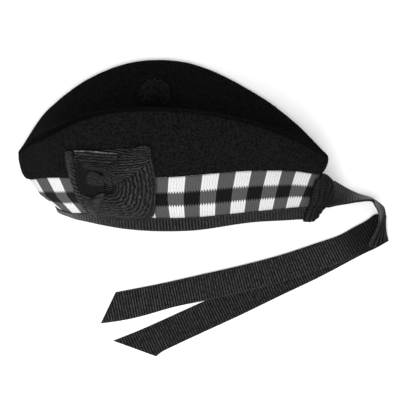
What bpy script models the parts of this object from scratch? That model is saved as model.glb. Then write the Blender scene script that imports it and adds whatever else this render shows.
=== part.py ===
"""A glengarry lying on its right side, with the crown spread open and the two tails laid in front.

The cap's front points to -X, its back to +X and its crown to +Y. Its left side, with the
cockade, is uppermost. The right side lies flat on the surface, where the origin is.
"""
import math
from collections import namedtuple

import bmesh
import bpy
import numpy as np

# Driving sizes, in metres
CAP_LENGTH = 0.300        # from the front tip to the back tip
CAP_SPREAD = 0.1784       # from the upper hem to the lower ridge, across the spread cap
RIDGE_HEIGHT = 0.111      # the upper ridge above the surface
BAND_HEIGHT = 0.041       # diced band, from the seam to the binding
BINDING_WIDTH = 0.0127    # ribbon that shows on each side of the hem
FOLD_WIDTH = 0.010        # blunt edge of each ridge
BELLY = 0.003             # outward swell of the upper side panel
BAND_SWELL = 0.003        # outward swell of the band
FELT = 0.003
KNIT = 0.002
BINDING_CLOTH = 0.001
SEAM_STEP = 0.0015        # how far the crown stands proud of the band
SEAM_ROLL = 0.001         # how far the crown's lower edge turns in
RIDGE_BEND = 0.006        # rounding of the ridge on the side panel
CREST_BEND = 0.007        # rounding of the ridge on the top
VALLEY_BEND = 0.018       # rounding of the fold in the top
GAP = 0.0003              # clearance between neighbouring pieces
REST_Y = 0.048            # the resting point, on the crown's flat side, from the sections' zero line

COCKADE_CLOTH = 0.0008
COCKADE_LOOP = 0.0065     # height of the cockade's loops over its base
TOORIE_DIAMETER = 0.0275
TOORIE_LOCK = 0.0028      # how far a lock of wool stands out of the toorie
KNOT_CLOTH = 0.0022       # folded ribbon over the back of the band
KNOT_PLEAT = 0.0016
KNOT_BULGE = 0.0065       # where the tails leave the knot
RIBBON_WIDTH = 0.0254
RIBBON_CLOTH = 0.0008
TAIL_REACH = 0.240        # from the knot to the cut ends, along X

# Sections of the cap from front to back. girth and along are shares of the half girth and of
# the length; *_y of CAP_SPREAD, *_z and lift of RIDGE_HEIGHT, band_* of BAND_HEIGHT (outward and
# down), swell of BAND_SWELL, tuck of BINDING_WIDTH and fold of FOLD_WIDTH and BELLY.
Station = namedtuple("Station", "girth along seam_y seam_z band_y band_z swell tuck crest_y crest_z "
                     "fold valley_y valley_z far_y lift")
STATIONS = [
    Station(0.000, 0.00, -0.226, 0.170, 0.68, -0.07, 1.0, 0.26, -0.078, 0.144, 0.0, -0.078, 0.144, -0.078, 0.144),
    Station(0.078, 0.05, -0.248, 0.360, 0.79, 0.17, 0.9, 0.21, -0.041, 0.455, 0.8, 0.000, 0.243, 0.081, 0.000),
    Station(0.191, 0.12, -0.275, 0.595, 0.78, 0.32, 0.6, 0.50, -0.029, 0.757, 1.0, 0.034, 0.370, 0.202, 0.000),
    Station(0.314, 0.25, -0.291, 0.720, 0.83, 0.37, 0.3, 0.79, 0.034, 0.928, 1.0, 0.062, 0.405, 0.362, 0.000),
    Station(0.530, 0.50, -0.291, 0.777, 0.87, 0.40, 0.3, 0.91, 0.051, 1.000, 1.0, 0.067, 0.370, 0.444, 0.000),
    Station(0.748, 0.75, -0.246, 0.678, 0.89, 0.35, 0.3, 0.70, 0.000, 0.874, 1.0, 0.006, 0.333, 0.283, 0.000),
    Station(0.888, 0.90, -0.230, 0.537, 0.81, 0.28, 0.3, 0.84, -0.066, 0.689, 1.0, -0.050, 0.342, 0.088, 0.081),
    Station(1.000, 1.00, -0.218, 0.350, 0.72, 0.18, 0.3, 0.87, -0.123, 0.324, 0.0, -0.123, 0.324, -0.123, 0.324),
]

# Where each line of the cap starts and ends along X, as shares of CAP_LENGTH
Ends = namedtuple("Ends", "front back")
HEM_ENDS = Ends(-0.375, 0.466)
BINDING_ENDS = Ends(-0.379, 0.463)
MIDDLE_ENDS = Ends(-0.432, 0.468)
SEAM_ENDS = Ends(-0.469, 0.472)
RIDGE_ENDS = Ends(-0.497, 0.487)

# Rulings across each tail from the knot to the cut end. x and y are shares of TAIL_REACH from
# the knot's exit, z and span of RIBBON_WIDTH; heading and tilt, in degrees, point from the
# first edge to the second.
KNOT_EXIT = Ends(0.507, -0.263)     # x as a share of CAP_LENGTH, y of CAP_SPREAD
Ruling = namedtuple("Ruling", "x y z heading tilt span")
TAIL_LOWER = [
    Ruling(0.014, 0.015, 1.22, -106, 4, 1.0),
    Ruling(0.062, -0.001, 0.46, -114, 39, 1.0),
    Ruling(0.107, -0.021, 0.08, -93, 64, 1.0),
    Ruling(0.159, -0.037, 0.04, -86, 75, 1.0),
    Ruling(0.187, -0.055, 0.08, -97, 61, 1.0),
    Ruling(0.211, -0.079, 0.23, -115, 28, 1.0),
    Ruling(0.217, -0.096, 0.46, -105, 12, 1.0),
    Ruling(0.225, -0.100, 0.27, -91, 2, 1.0),
    Ruling(0.206, -0.108, 0.02, -87, 0, 1.0),
    Ruling(0.137, -0.147, 0.02, -66, 0, 1.0),
    Ruling(0.072, -0.178, 0.02, -66, 0, 1.0),
    Ruling(-0.092, -0.257, 0.02, -65, 0, 1.0),
    Ruling(-0.249, -0.328, 0.02, -66, 0, 1.0),
    Ruling(-0.414, -0.407, 0.02, -64, 0, 1.0),
    Ruling(-0.542, -0.472, 0.02, -64, 0, 1.0),
    Ruling(-0.876, -0.614, 0.02, -18, 0, 1.67),
]
TAIL_UPPER = [
    Ruling(0.006, 0.009, 1.17, -106, 4, 1.0),
    Ruling(0.054, -0.007, 0.41, -114, 39, 1.0),
    Ruling(0.099, -0.027, 0.04, -93, 64, 1.0),
    Ruling(0.151, -0.043, 0.03, -86, 75, 1.0),
    Ruling(0.179, -0.061, 0.05, -97, 61, 1.0),
    Ruling(0.198, -0.085, 0.13, -115, 28, 1.0),
    Ruling(0.199, -0.100, 0.29, -105, 12, 1.0),
    Ruling(0.202, -0.106, 0.19, -91, 2, 1.0),
    Ruling(0.188, -0.110, 0.066, -84, 0, 1.0),
    Ruling(0.141, -0.133, 0.066, -63, 0, 1.0),
    Ruling(0.085, -0.163, 0.066, -61, 0, 1.0),
    Ruling(0.028, -0.194, 0.066, -63, 0, 1.0),
    Ruling(-0.061, -0.225, 0.066, -66, 0, 1.0),
    Ruling(-0.206, -0.273, 0.066, -70, 0, 1.0),
    Ruling(-0.367, -0.316, 0.066, -75, 0, 1.0),
    Ruling(-0.528, -0.353, 0.066, -80, 0, 1.0),
    Ruling(-0.689, -0.389, 0.05, -79, 0, 1.0),
    Ruling(-0.867, -0.423, 0.02, -115, 0, 1.31),
]

# Levels up the side of the cap: hem, top of the binding, middle of the band, seam, belly and ridge
HEM, BINDING, MIDDLE, SEAM, BELLY_LINE, RIDGE = range(6)
BAND_OUTWARD = np.array([0, -0.7, 0.5])

# Sections that are meshed, closer together at both tips, as half girths and once round the cap
EVEN = np.linspace(0, 1, 32)
GIRTH = 0.65 * EVEN + 0.35 * (1 - np.cos(math.pi * EVEN)) / 2
AROUND = np.concatenate([GIRTH, 2 - GIRTH[-2:0:-1]]) / 2


def column(name):
    return np.array([getattr(station, name) for station in STATIONS])


def line(ends, y, z):
    """One line of the cap at every station, its x running evenly between its ends."""
    x = CAP_LENGTH * (ends.front + (ends.back - ends.front) * column("along"))
    return np.stack([x, y, z], axis=1)


def upper_lines():
    """Every level of the upper side from the hem to the ridge, and its crest, as arrays of points."""
    seam = line(SEAM_ENDS, CAP_SPREAD * column("seam_y"), RIDGE_HEIGHT * column("seam_z"))
    binding = line(BINDING_ENDS, seam[:, 1] - BAND_HEIGHT * column("band_y"),
                   seam[:, 2] - BAND_HEIGHT * column("band_z"))
    halfway = (seam + binding) / 2 + BAND_OUTWARD * BAND_SWELL * column("swell")[:, None]
    middle = line(MIDDLE_ENDS, halfway[:, 1], halfway[:, 2])
    tuck = column("tuck")
    hem = line(HEM_ENDS, binding[:, 1] - BINDING_WIDTH * tuck,
               binding[:, 2] - BINDING_WIDTH * np.sqrt(1 - tuck ** 2))
    crest = line(RIDGE_ENDS, CAP_SPREAD * column("crest_y"), RIDGE_HEIGHT * column("crest_z"))
    ridge = crest - np.array([0, FOLD_WIDTH, 0]) * column("fold")[:, None]
    rise = ridge - seam
    outward = np.stack([0 * rise[:, 0], -rise[:, 2], rise[:, 1]], axis=1)
    outward /= np.linalg.norm(outward, axis=1)[:, None]
    belly = (seam + ridge) / 2 + outward * BELLY * column("fold")[:, None]
    return [hem, binding, middle, seam, belly, ridge], crest


def lower_lines(upper):
    """The same lines on the lower side, which is as high and lies flat on the surface."""
    far_y = CAP_SPREAD * column("far_y")
    lift = RIDGE_HEIGHT * column("lift")
    lower = [None] * len(upper)
    lower[RIDGE] = line(RIDGE_ENDS, far_y, lift)
    drop = 0
    for level in range(BELLY_LINE, HEM - 1, -1):
        drop = drop + np.linalg.norm((upper[level + 1] - upper[level])[:, 1:], axis=1)
        lower[level] = np.stack([upper[level][:, 0], far_y - drop, lift], axis=1)
        lower[level][[0, -1]] = upper[level][[0, -1]]
    crest = lower[RIDGE] + np.array([0, 0, FOLD_WIDTH]) * column("fold")[:, None]
    return lower, crest


def ring(upper, lower):
    """A closed smooth curve, along the upper line and back along the lower one."""
    return np.concatenate([upper, lower[-2:0:-1]])


def ring_knots():
    girth = column("girth") / 2
    return np.concatenate([girth, 1 - girth[-2::-1]])


def on_ring(points, where):
    """The smooth closed curve through the points, at the shares `where` of its way round."""
    knots = ring_knots()
    closed = np.concatenate([points, points[:1]])
    gaps = np.diff(knots)[:, None]
    slopes = np.diff(closed, axis=0) / gaps
    before = np.roll(slopes, 1, axis=0)
    gaps_before = np.roll(gaps, 1, axis=0)
    tangents = (slopes * gaps_before + before * gaps) / (gaps + gaps_before)
    tangents = np.concatenate([tangents, tangents[:1]])
    where = np.mod(where, 1.0)
    index = np.clip(np.searchsorted(knots, where, side="right") - 1, 0, len(gaps) - 1)
    step = gaps[index]
    t = (where[..., None] - knots[index][..., None]) / step
    return ((2 * t ** 3 - 3 * t ** 2 + 1) * closed[index] + (t ** 3 - 2 * t ** 2 + t) * step * tangents[index]
            + (3 * t ** 2 - 2 * t ** 3) * closed[index + 1] + (t ** 3 - t ** 2) * step * tangents[index + 1])


UPPER, UPPER_CREST = upper_lines()
LOWER, LOWER_CREST = lower_lines(UPPER)
SIDE_RINGS = [ring(upper, lower) for upper, lower in zip(UPPER, LOWER)]
CREST_RING = ring(UPPER_CREST, LOWER_CREST)
VALLEY = line(RIDGE_ENDS, CAP_SPREAD * column("valley_y"), RIDGE_HEIGHT * column("valley_z"))
VALLEY_RING = ring(VALLEY, VALLEY)


def unit(vectors):
    return vectors / np.maximum(np.linalg.norm(vectors, axis=-1, keepdims=True), 1e-12)


def side_point(around, level):
    """A point of the cap's side: `around` is 0 at the front fold and 0.5 at the back one."""
    lines = np.stack([on_ring(points, around) for points in SIDE_RINGS])
    lines[..., 2] = np.maximum(lines[..., 2], 0)
    low = np.clip(np.floor(level).astype(int), HEM, RIDGE - 1)
    share = (level - low)[..., None]
    here = np.take_along_axis(lines, low[None, ..., None], axis=0)[0]
    above = np.take_along_axis(lines, low[None, ..., None] + 1, axis=0)[0]
    return here * (1 - share) + above * share


def on_side(around, level, depth):
    """A point at `depth` outside the cap's side, and never below the surface it lies on."""
    around, level, depth = np.broadcast_arrays(np.asarray(around, float), level, depth)
    step = 0.004
    along = side_point(around + step, level) - side_point(around - step, level)
    up = side_point(around, level + 10 * step) - side_point(around, level - 10 * step)
    points = side_point(around, level) + unit(np.cross(along, up)) * depth[..., None]
    points[..., 2] = np.maximum(points[..., 2], 0)
    return points


# Sections of the crown. They leave the clearance between its two sides at each tip, where the
# felt is pared to an edge, and it has its full thickness from a share of the half girth on.
TIP = GAP / CAP_LENGTH
FELT_TAPER = 0.060
WHERE = TIP + (1 - 2 * TIP) * GIRTH
THICKNESS = FELT * np.minimum(1, np.minimum(GIRTH, 1 - GIRTH) / FELT_TAPER) ** 2


def crown_corners():
    """Corners of the crown's sections, from the upper seam over both ridges to the lower seam."""
    sides = (SIDE_RINGS[SEAM], SIDE_RINGS[BELLY_LINE], SIDE_RINGS[RIDGE], CREST_RING)
    corners = [on_ring(points, WHERE / 2) for points in sides]
    corners += [on_ring(VALLEY_RING, WHERE / 2)]
    corners += [on_ring(points, 1 - WHERE / 2) for points in reversed(sides)]
    corners = np.stack(corners, axis=1)
    corners[..., 2] = np.maximum(corners[..., 2], 0)
    return corners


def inset(corners, depth):
    """The corners moved inwards, so that every panel of a section is `depth` further in."""
    panels = np.diff(corners, axis=1)
    inward = unit(np.stack([0 * panels[..., 0], panels[..., 2], -panels[..., 1]], axis=-1))
    before = np.concatenate([inward[:, :1], inward], axis=1)
    after = np.concatenate([inward, inward[:, -1:]], axis=1)
    cosine = np.sum(before * after, axis=-1, keepdims=True)
    return corners + depth * (before + after) / (1 + cosine)


BELLY_BEND = CAP_SPREAD          # longer than the panels, so the belly is one smooth curve
BEND_LIMIT = 0.45                # of the shorter panel beside a bend
BEND_STEPS = 3
PANEL_STEPS = 2


def rounded(corners, bends):
    """Polylines through the corners, each inner one rounded by a curve as long as its bend."""
    points = [corners[:, 0]]
    for index, bend in enumerate(bends, start=1):
        corner = corners[:, index]
        back = corners[:, index - 1] - corner
        forth = corners[:, index + 1] - corner
        reach = np.minimum(np.linalg.norm(back, axis=1), np.linalg.norm(forth, axis=1))
        reach = np.minimum(bend, BEND_LIMIT * reach)[:, None]
        start = corner + unit(back) * reach
        end = corner + unit(forth) * reach
        last = points[-1]
        for share in np.arange(1, PANEL_STEPS) / PANEL_STEPS:
            points.append(last + (start - last) * share)
        for share in np.arange(BEND_STEPS + 1) / BEND_STEPS:
            points.append((1 - share) ** 2 * start + 2 * share * (1 - share) * corner + share ** 2 * end)
    last = points[-1]
    for share in np.arange(1, PANEL_STEPS + 1) / PANEL_STEPS:
        points.append(last + (corners[:, -1] - last) * share)
    return np.stack(points, axis=1)


def add_piece(name, vertices, faces, look):
    """A closed mesh with its doubles merged and its faces turned outwards, as one object."""
    mesh = bpy.data.meshes.new(name)
    mesh.from_pydata([(x, y - REST_Y, z) for x, y, z in vertices], [], faces)
    body = bmesh.new()
    body.from_mesh(mesh)
    bmesh.ops.remove_doubles(body, verts=body.verts, dist=1e-6)
    bmesh.ops.recalc_face_normals(body, faces=body.faces)
    bmesh.ops.triangulate(body, faces=body.faces, ngon_method="EAR_CLIP")
    body.to_mesh(mesh)
    body.free()
    mesh.materials.append(look)
    mesh.shade_smooth()
    piece = bpy.data.objects.new(name, mesh)
    bpy.context.scene.collection.objects.link(piece)
    return piece


def grid_faces(rows, columns, start=0, flip=False, closed_rows=False, closed_columns=False):
    """Quads over a grid of vertices that is stored row by row from index `start`."""
    faces = []
    for row in range(rows if closed_rows else rows - 1):
        for col in range(columns if closed_columns else columns - 1):
            a = start + row * columns + col
            b = start + row * columns + (col + 1) % columns
            c = start + (row + 1) % rows * columns + (col + 1) % columns
            d = start + (row + 1) % rows * columns + col
            faces.append((a, d, c, b) if flip else (a, b, c, d))
    return faces


def cloth(name, color, roughness):
    look = bpy.data.materials.new(name)
    look.use_nodes = True
    shader = look.node_tree.nodes["Principled BSDF"]
    shader.inputs["Base Color"].default_value = (*color, 1)
    shader.inputs["Roughness"].default_value = roughness
    shader.inputs["Metallic"].default_value = 0
    return look


def slab(name, top, bottom, look):
    """A closed solid between two grids of points that have the same rows and columns."""
    rows, columns = top.shape[:2]
    vertices = np.concatenate([top.reshape(-1, 3), bottom.reshape(-1, 3)])
    under = rows * columns
    faces = grid_faces(rows, columns) + grid_faces(rows, columns, under, flip=True)
    rim = [row * columns for row in range(rows)]
    rim += [(rows - 1) * columns + col for col in range(1, columns)]
    rim += [row * columns + columns - 1 for row in range(rows - 2, -1, -1)]
    rim += list(range(columns - 2, 0, -1))
    for here, there in zip(rim, rim[1:] + rim[:1]):
        faces.append((here, there, there + under, here + under))
    return add_piece(name, vertices, faces, look)


# Where the crown is cut into its pieces: halfway across the blunt edge of each ridge
BEND_COLUMNS = PANEL_STEPS + BEND_STEPS
UPPER_CUT = 2 * BEND_COLUMNS + PANEL_STEPS // 2
LOWER_CUT = 5 * BEND_COLUMNS + PANEL_STEPS // 2
TOP_START = 0.5                  # of the first step from each tip, where the top begins
CUT_LIMIT = 0.4                  # of the edge's last step, where that is narrower than the gap


def cut_back(edge, before):
    """A cut edge moved half the clearance towards the column before it."""
    step = before - edge
    length = np.linalg.norm(step, axis=1, keepdims=True)
    return edge + unit(step) * np.minimum(GAP / 2, CUT_LIMIT * length)


def crown_pieces(look):
    """Two felt sides and the top, each a slab between the crown's outer and inner skins."""
    bends = np.array([BELLY_BEND, RIDGE_BEND, CREST_BEND, VALLEY_BEND, CREST_BEND, RIDGE_BEND, BELLY_BEND])
    corners = crown_corners()
    outer = rounded(corners, bends)
    inner = rounded(inset(corners, THICKNESS[:, None, None]), np.maximum(bends[:, None] - THICKNESS, 0))
    left, top, right = [], [], []
    for skin, depth in ((outer, SEAM_ROLL * THICKNESS / FELT), (inner, THICKNESS)):
        skin[:, 0] = on_side(WHERE / 2, float(SEAM), -depth)
        skin[:, -1] = on_side(1 - WHERE / 2, float(SEAM), -depth)
        left.append(skin[:, :UPPER_CUT + 1].copy())
        top.append(skin[:, UPPER_CUT:LOWER_CUT + 1].copy())
        right.append(skin[:, LOWER_CUT:].copy())
        left[-1][:, -1] = cut_back(skin[:, UPPER_CUT], skin[:, UPPER_CUT - 1])
        top[-1][:, 0] = cut_back(skin[:, UPPER_CUT], skin[:, UPPER_CUT + 1])
        top[-1][:, -1] = cut_back(skin[:, LOWER_CUT], skin[:, LOWER_CUT - 1])
        right[-1][:, 0] = cut_back(skin[:, LOWER_CUT], skin[:, LOWER_CUT + 1])
        top[-1][0] += (top[-1][1] - top[-1][0]) * TOP_START
        top[-1][-1] += (top[-1][-2] - top[-1][-1]) * TOP_START
    slab("crown_left_side", *left, look)
    slab("crown_top", *top, look)
    slab("crown_right_side", *right, look)


def ring_piece(name, profile, look):
    """A profile of levels and depths carried once round the cap."""
    level, depth = np.array(profile).T
    points = on_side(AROUND[:, None], level[None, :], depth[None, :])
    faces = grid_faces(len(AROUND), len(profile), closed_rows=True, closed_columns=True)
    return add_piece(name, points.reshape(-1, 3), faces, look)


BAND_OUT = -SEAM_STEP
BAND_IN = BAND_OUT - KNIT
BINDING_OUT = BAND_OUT + GAP + BINDING_CLOTH
BINDING_IN = BAND_IN - GAP - BINDING_CLOTH
BINDING_FLOOR = BINDING_CLOTH / BINDING_WIDTH


def band_piece(look):
    foot = BINDING_FLOOR + GAP / BINDING_WIDTH
    top = GAP / BAND_HEIGHT * (SEAM - BINDING)
    profile = [(level, BAND_OUT) for level in (foot, BINDING, MIDDLE, SEAM - top)]
    profile += [(level, BAND_IN) for level in (SEAM - 4 * top, MIDDLE, BINDING, foot)]
    return ring_piece("diced_band", profile, look)


def binding_piece(look):
    turn = BINDING_FLOOR / 2
    profile = [(BINDING, BINDING_OUT), (turn, BINDING_OUT), (HEM, BINDING_OUT - BINDING_CLOTH / 2),
               (HEM, BINDING_IN + BINDING_CLOTH / 2), (turn, BINDING_IN), (BINDING, BINDING_IN),
               (BINDING, BAND_IN - GAP), (BINDING_FLOOR, BAND_IN - GAP),
               (BINDING_FLOOR, BAND_OUT + GAP), (BINDING, BAND_OUT + GAP)]
    return ring_piece("hem_binding", profile, look)


def side_slab(name, around, levels, low, high, look):
    """A slab that follows the cap's side between the depths low and high."""
    return slab(name, on_side(around, levels, high), on_side(around, levels, low), look)


# The cockade's side edges, as shares of the half girth at a level of the side
Edge = namedtuple("Edge", "level rear front")
COCKADE_EDGES = [
    Edge(0.68, 0.228, 0.415),
    Edge(1.80, 0.238, 0.452),
    Edge(3.00, 0.246, 0.474),
    Edge(3.60, 0.242, 0.474),
    Edge(4.12, 0.237, 0.465),
]
COCKADE_BORDER = 0.024           # ribbed border left free of the loops, in half girths
PINCH = Ends(0.333, 2.55)        # girth and level where the loops are sewn down
PINCH_HALF = 0.30                # half the loops' height at the pinch, in levels
LOOP_MARGIN = 0.10               # from the loops to the base's long edges, in levels
COCKADE_STEPS = 9


def cockade_pieces(look):
    """A flat base and two loops that widen from the pinch, all following the cap's side."""
    table = np.array(COCKADE_EDGES)
    base_top = GAP + COCKADE_CLOTH
    levels = np.linspace(table[0, 0], table[-1, 0], COCKADE_STEPS)[None, :]
    rear = np.interp(levels, table[:, 0], table[:, 1])
    front = np.interp(levels, table[:, 0], table[:, 2])
    share = np.linspace(0, 1, COCKADE_STEPS + 4)[:, None]
    side_slab("cockade_base", (rear + (front - rear) * share) / 2, levels, GAP, base_top, look)
    for name, column_index, inset, fullness in (("cockade_rear_loop", 1, COCKADE_BORDER, 0.7),
                                                ("cockade_front_loop", 2, 0, 1.0)):
        reach = np.linspace(0, 1, COCKADE_STEPS)[:, None]
        across = np.linspace(0, 1, COCKADE_STEPS)[None, :]
        spread = np.sqrt(reach)
        low = (PINCH.back - PINCH_HALF) * (1 - spread) + (table[0, 0] + LOOP_MARGIN) * spread
        high = (PINCH.back + PINCH_HALF) * (1 - spread) + (table[-1, 0] - LOOP_MARGIN) * spread
        levels = low + (high - low) * across
        edge = np.interp(levels, table[:, 0], table[:, column_index]) + inset
        side = np.sign(edge - PINCH.front)
        start = PINCH.front + side * GAP / CAP_LENGTH * 4
        girth = start + (edge - start) * reach
        full = np.sin(math.pi * across) ** 0.6 * np.sin(math.pi * (0.15 + 0.75 * reach)) ** 0.8
        height = COCKADE_CLOTH + COCKADE_LOOP * fullness * full
        side_slab(name, girth / 2, levels, base_top + GAP, base_top + GAP + height, look)


LOCKS = 46
LOCK_HALF_ANGLE = 0.30           # radians
TOORIE_GIRTH = 0.487             # place on the crown's top, as a share of the half girth
TOORIE_SLOPE = 0.30              # and of the way from the valley to the lower crest


def toorie_piece(look):
    """A ball of wool: locks spread evenly by the golden angle and fused to a round head."""
    radius = TOORIE_DIAMETER / 2
    number = np.arange(LOCKS)
    height = 1 - (2 * number + 1) / LOCKS
    turn = number * math.pi * (3 - math.sqrt(5))
    locks = np.stack([np.sqrt(1 - height ** 2) * np.cos(turn), np.sqrt(1 - height ** 2) * np.sin(turn),
                      height], axis=1)
    body = bmesh.new()
    bmesh.ops.create_icosphere(body, subdivisions=4, radius=1)
    directions = unit(np.array([vertex.co[:] for vertex in body.verts]))
    angle = np.arccos(np.clip(directions @ locks.T, -1, 1)).min(axis=1)
    tuft = np.clip(1 - (angle / LOCK_HALF_ANGLE) ** 2, 0, 1)
    faces = [tuple(vertex.index for vertex in face.verts) for face in body.faces]
    body.free()
    ball = directions * (radius - TOORIE_LOCK * (1 - tuft))[:, None]

    here = np.array([TOORIE_GIRTH / 2])
    valley = on_ring(VALLEY_RING, here)[0]
    crest = on_ring(CREST_RING, 1 - here)[0]
    slope = unit(crest - valley)
    away = unit(np.cross(np.array([1.0, 0, 0]), slope))
    centre = valley + (crest - valley) * TOORIE_SLOPE + away * (radius + GAP)
    return add_piece("toorie", ball + centre, faces, look)


KNOT_TOP = Ends(0.942, 1.03)     # the knot's side edges at the seam, in half girths
KNOT_FOOT = Ends(0.916, 1.00)    # and at the hem
KNOT_LEVELS = Ends(-0.15, 2.90)
KNOT_PLEATS = 3
KNOT_STEPS = 25


def knot_piece(look):
    """The ribbon's end, pleated across the back fold and full where the tails leave it."""
    share = np.linspace(0, 1, KNOT_STEPS)[:, None]
    height = np.linspace(0, 1, 8)[None, :]
    front = KNOT_FOOT.front + (KNOT_TOP.front - KNOT_FOOT.front) * height
    back = KNOT_FOOT.back + (KNOT_TOP.back - KNOT_FOOT.back) * height
    girth = front + (back - front) * share
    levels = KNOT_LEVELS.front + (KNOT_LEVELS.back - KNOT_LEVELS.front) * height + 0 * share
    pleat = KNOT_PLEAT * np.sin(math.pi * KNOT_PLEATS * share) ** 2
    bulge = KNOT_BULGE * np.exp(-((girth - 1) / 0.03) ** 2) * np.sin(math.pi / 2 * height)
    ends = np.minimum(1, 6 * np.minimum(share, 1 - share) + 0.4)
    under = BINDING_OUT + GAP
    side_slab("back_knot", girth / 2, levels, under, under + (KNOT_CLOTH + pleat + bulge) * ends, look)


def smooth_rows(rows, steps):
    """A smooth curve through the rows, with `steps` points between each pair."""
    padded = np.concatenate([2 * rows[:1] - rows[1:2], rows, 2 * rows[-1:] - rows[-2:-1]])
    before, here, there, after = padded[:-3], padded[1:-2], padded[2:-1], padded[3:]
    t = (np.arange(steps) / steps)[:, None, None]
    curve = 0.5 * (2 * here + (there - before) * t + (2 * before - 5 * here + 4 * there - after) * t ** 2
                   + (3 * here - before - 3 * there + after) * t ** 3)
    curve = curve.transpose(1, 0, 2).reshape(-1, rows.shape[1])
    return np.concatenate([curve, rows[-1:]])


TAIL_STEPS = 3


def tail_piece(name, rulings, look):
    """A ribbon between two edges, which every ruling holds one width apart."""
    table = np.array(rulings)
    start = np.array([KNOT_EXIT.front * CAP_LENGTH, KNOT_EXIT.back * CAP_SPREAD, 0])
    edge = start + np.stack([table[:, 0] * TAIL_REACH, table[:, 1] * TAIL_REACH,
                             table[:, 2] * RIBBON_WIDTH], axis=1)
    heading, tilt = np.radians(table[:, 3]), np.radians(table[:, 4])
    across = np.stack([np.cos(tilt) * np.cos(heading), np.cos(tilt) * np.sin(heading), np.sin(tilt)], axis=1)
    first = smooth_rows(edge, TAIL_STEPS)
    span = smooth_rows(table[:, 5:], TAIL_STEPS) * RIBBON_WIDTH
    second = first + unit(smooth_rows(across, TAIL_STEPS)) * span
    share = np.linspace(0, 1, 3)[None, :, None]
    middle = first[:, None] * (1 - share) + second[:, None] * share
    middle[..., 2] = np.maximum(middle[..., 2], RIBBON_CLOTH / 2)
    normal = unit(np.cross(np.gradient(middle, axis=0), second[:, None] - first[:, None]))
    return slab(name, middle + normal * RIBBON_CLOTH / 2, middle - normal * RIBBON_CLOTH / 2, look)


def main():
    for old in list(bpy.data.objects):
        bpy.data.objects.remove(old)
    felt = cloth("black_felt", (0.010, 0.010, 0.011), 0.95)
    knit = cloth("diced_knit", (0.30, 0.30, 0.30), 0.9)
    ribbon = cloth("black_grosgrain", (0.014, 0.014, 0.015), 0.6)
    wool = cloth("black_wool", (0.016, 0.016, 0.017), 0.95)
    crown_pieces(felt)
    band_piece(knit)
    binding_piece(ribbon)
    cockade_pieces(ribbon)
    toorie_piece(wool)
    knot_piece(ribbon)
    tail_piece("tail_lower", TAIL_LOWER, ribbon)
    tail_piece("tail_upper", TAIL_UPPER, ribbon)


main()
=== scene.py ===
"""A glengarry laid on its right side, with the crown spread open and the ribbon tails in front.

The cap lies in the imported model's frame: its front points to -X, its back to +X, its crown to +Y,
and its left side, with the cockade, is uppermost.
"""
import math
from collections import namedtuple

import bmesh
import bpy
import numpy as np
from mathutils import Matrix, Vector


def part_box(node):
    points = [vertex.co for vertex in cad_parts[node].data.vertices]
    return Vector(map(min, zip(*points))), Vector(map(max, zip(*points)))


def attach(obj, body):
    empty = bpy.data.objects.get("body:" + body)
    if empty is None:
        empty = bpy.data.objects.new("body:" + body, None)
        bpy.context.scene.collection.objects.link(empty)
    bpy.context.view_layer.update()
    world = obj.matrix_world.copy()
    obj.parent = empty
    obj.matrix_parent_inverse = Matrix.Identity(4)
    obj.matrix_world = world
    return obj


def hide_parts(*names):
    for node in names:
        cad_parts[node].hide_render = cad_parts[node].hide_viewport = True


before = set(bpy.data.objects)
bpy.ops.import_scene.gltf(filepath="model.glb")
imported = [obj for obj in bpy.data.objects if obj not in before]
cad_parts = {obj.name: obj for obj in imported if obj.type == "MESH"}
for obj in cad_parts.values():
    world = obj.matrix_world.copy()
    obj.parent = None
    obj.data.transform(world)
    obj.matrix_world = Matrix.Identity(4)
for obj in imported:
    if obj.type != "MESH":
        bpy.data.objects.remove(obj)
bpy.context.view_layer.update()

# Crown
# Two side panels and a long top of thick black wool felt, sewn together and pressed into a
# valley between two ridges. The side panels are turned in where they are sewn to the band.
CAP_LENGTH = 0.300
CAP_SPREAD = 0.1784
RIDGE_HEIGHT = 0.111
BAND_HEIGHT = 0.041
BINDING_WIDTH = 0.0127
FOLD_WIDTH = 0.010
BELLY = 0.003
BAND_SWELL = 0.003
REST_Y = 0.048
FELT = 0.003
SEAM_ROLL = 0.001
RIDGE_BEND = 0.006
CREST_BEND = 0.007
VALLEY_BEND = 0.018
BELLY_BEND = CAP_SPREAD
FELT_COLOUR = (0.0042, 0.0040, 0.0043)
FELT_TONES = (0.2, 2.6)
FELT_CONTRAST = (0.40, 0.60)
FELT_FINENESS = 1500.0

# The felt's skins are grids, with sections along the crown that crowd towards both tips. Their
# columns go over every panel and round every bend: so many to the ridge, and so many more over
# its blunt edge to the crest
SECTIONS = 190
CROWDING = 0.35
PANEL_STEPS = 8
BEND_STEPS = 9
RIDGE_COLUMN = 30
FOLD_COLUMNS = 16


def named_rows(columns, *rows):
    """A short table: rows whose values go by the names of the columns."""
    row = namedtuple("row", columns)
    return [row(*values) for values in rows]


# Slow waves that the felt sways by
FELT_WAVE = 0.00035
FELT_WAVES = named_rows("length turn share", (0.055, 0.6, 1.0), (0.021, 2.2, 0.5))

# How far the felt swells past its straight ends, how far down the swelling is drawn, and the
# share of the girth that swells
TIP_BULGES = named_rows("reach warp", (-0.0038, 0.6), (0.0030, 1.0))
TIP_SHARE = 0.13

# Where the painted shade of the top starts on the blunt edge of the ridges, as a share of the way
# across it, how much painted shade darkens the top, and how much more a painted shadow darkens
# the felt in the fold behind the upper ridge. The blur and the painted shadow of the fold are
# counted in columns
PAINTED_TOP_SHADE = named_rows(
    "girth share dark",
    (0.15, 0.06, 0.68),
    (0.31, 0.40, 0.58),
    (0.50, 0.66, 0.34),
    (1.00, 0.60, 0.50),
)
TOP_PAINTED_SHADE = 0.08
PAINTED_SHADE_BLUR = 2.0
FOLD_SHADOW = (14, 58)

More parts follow.
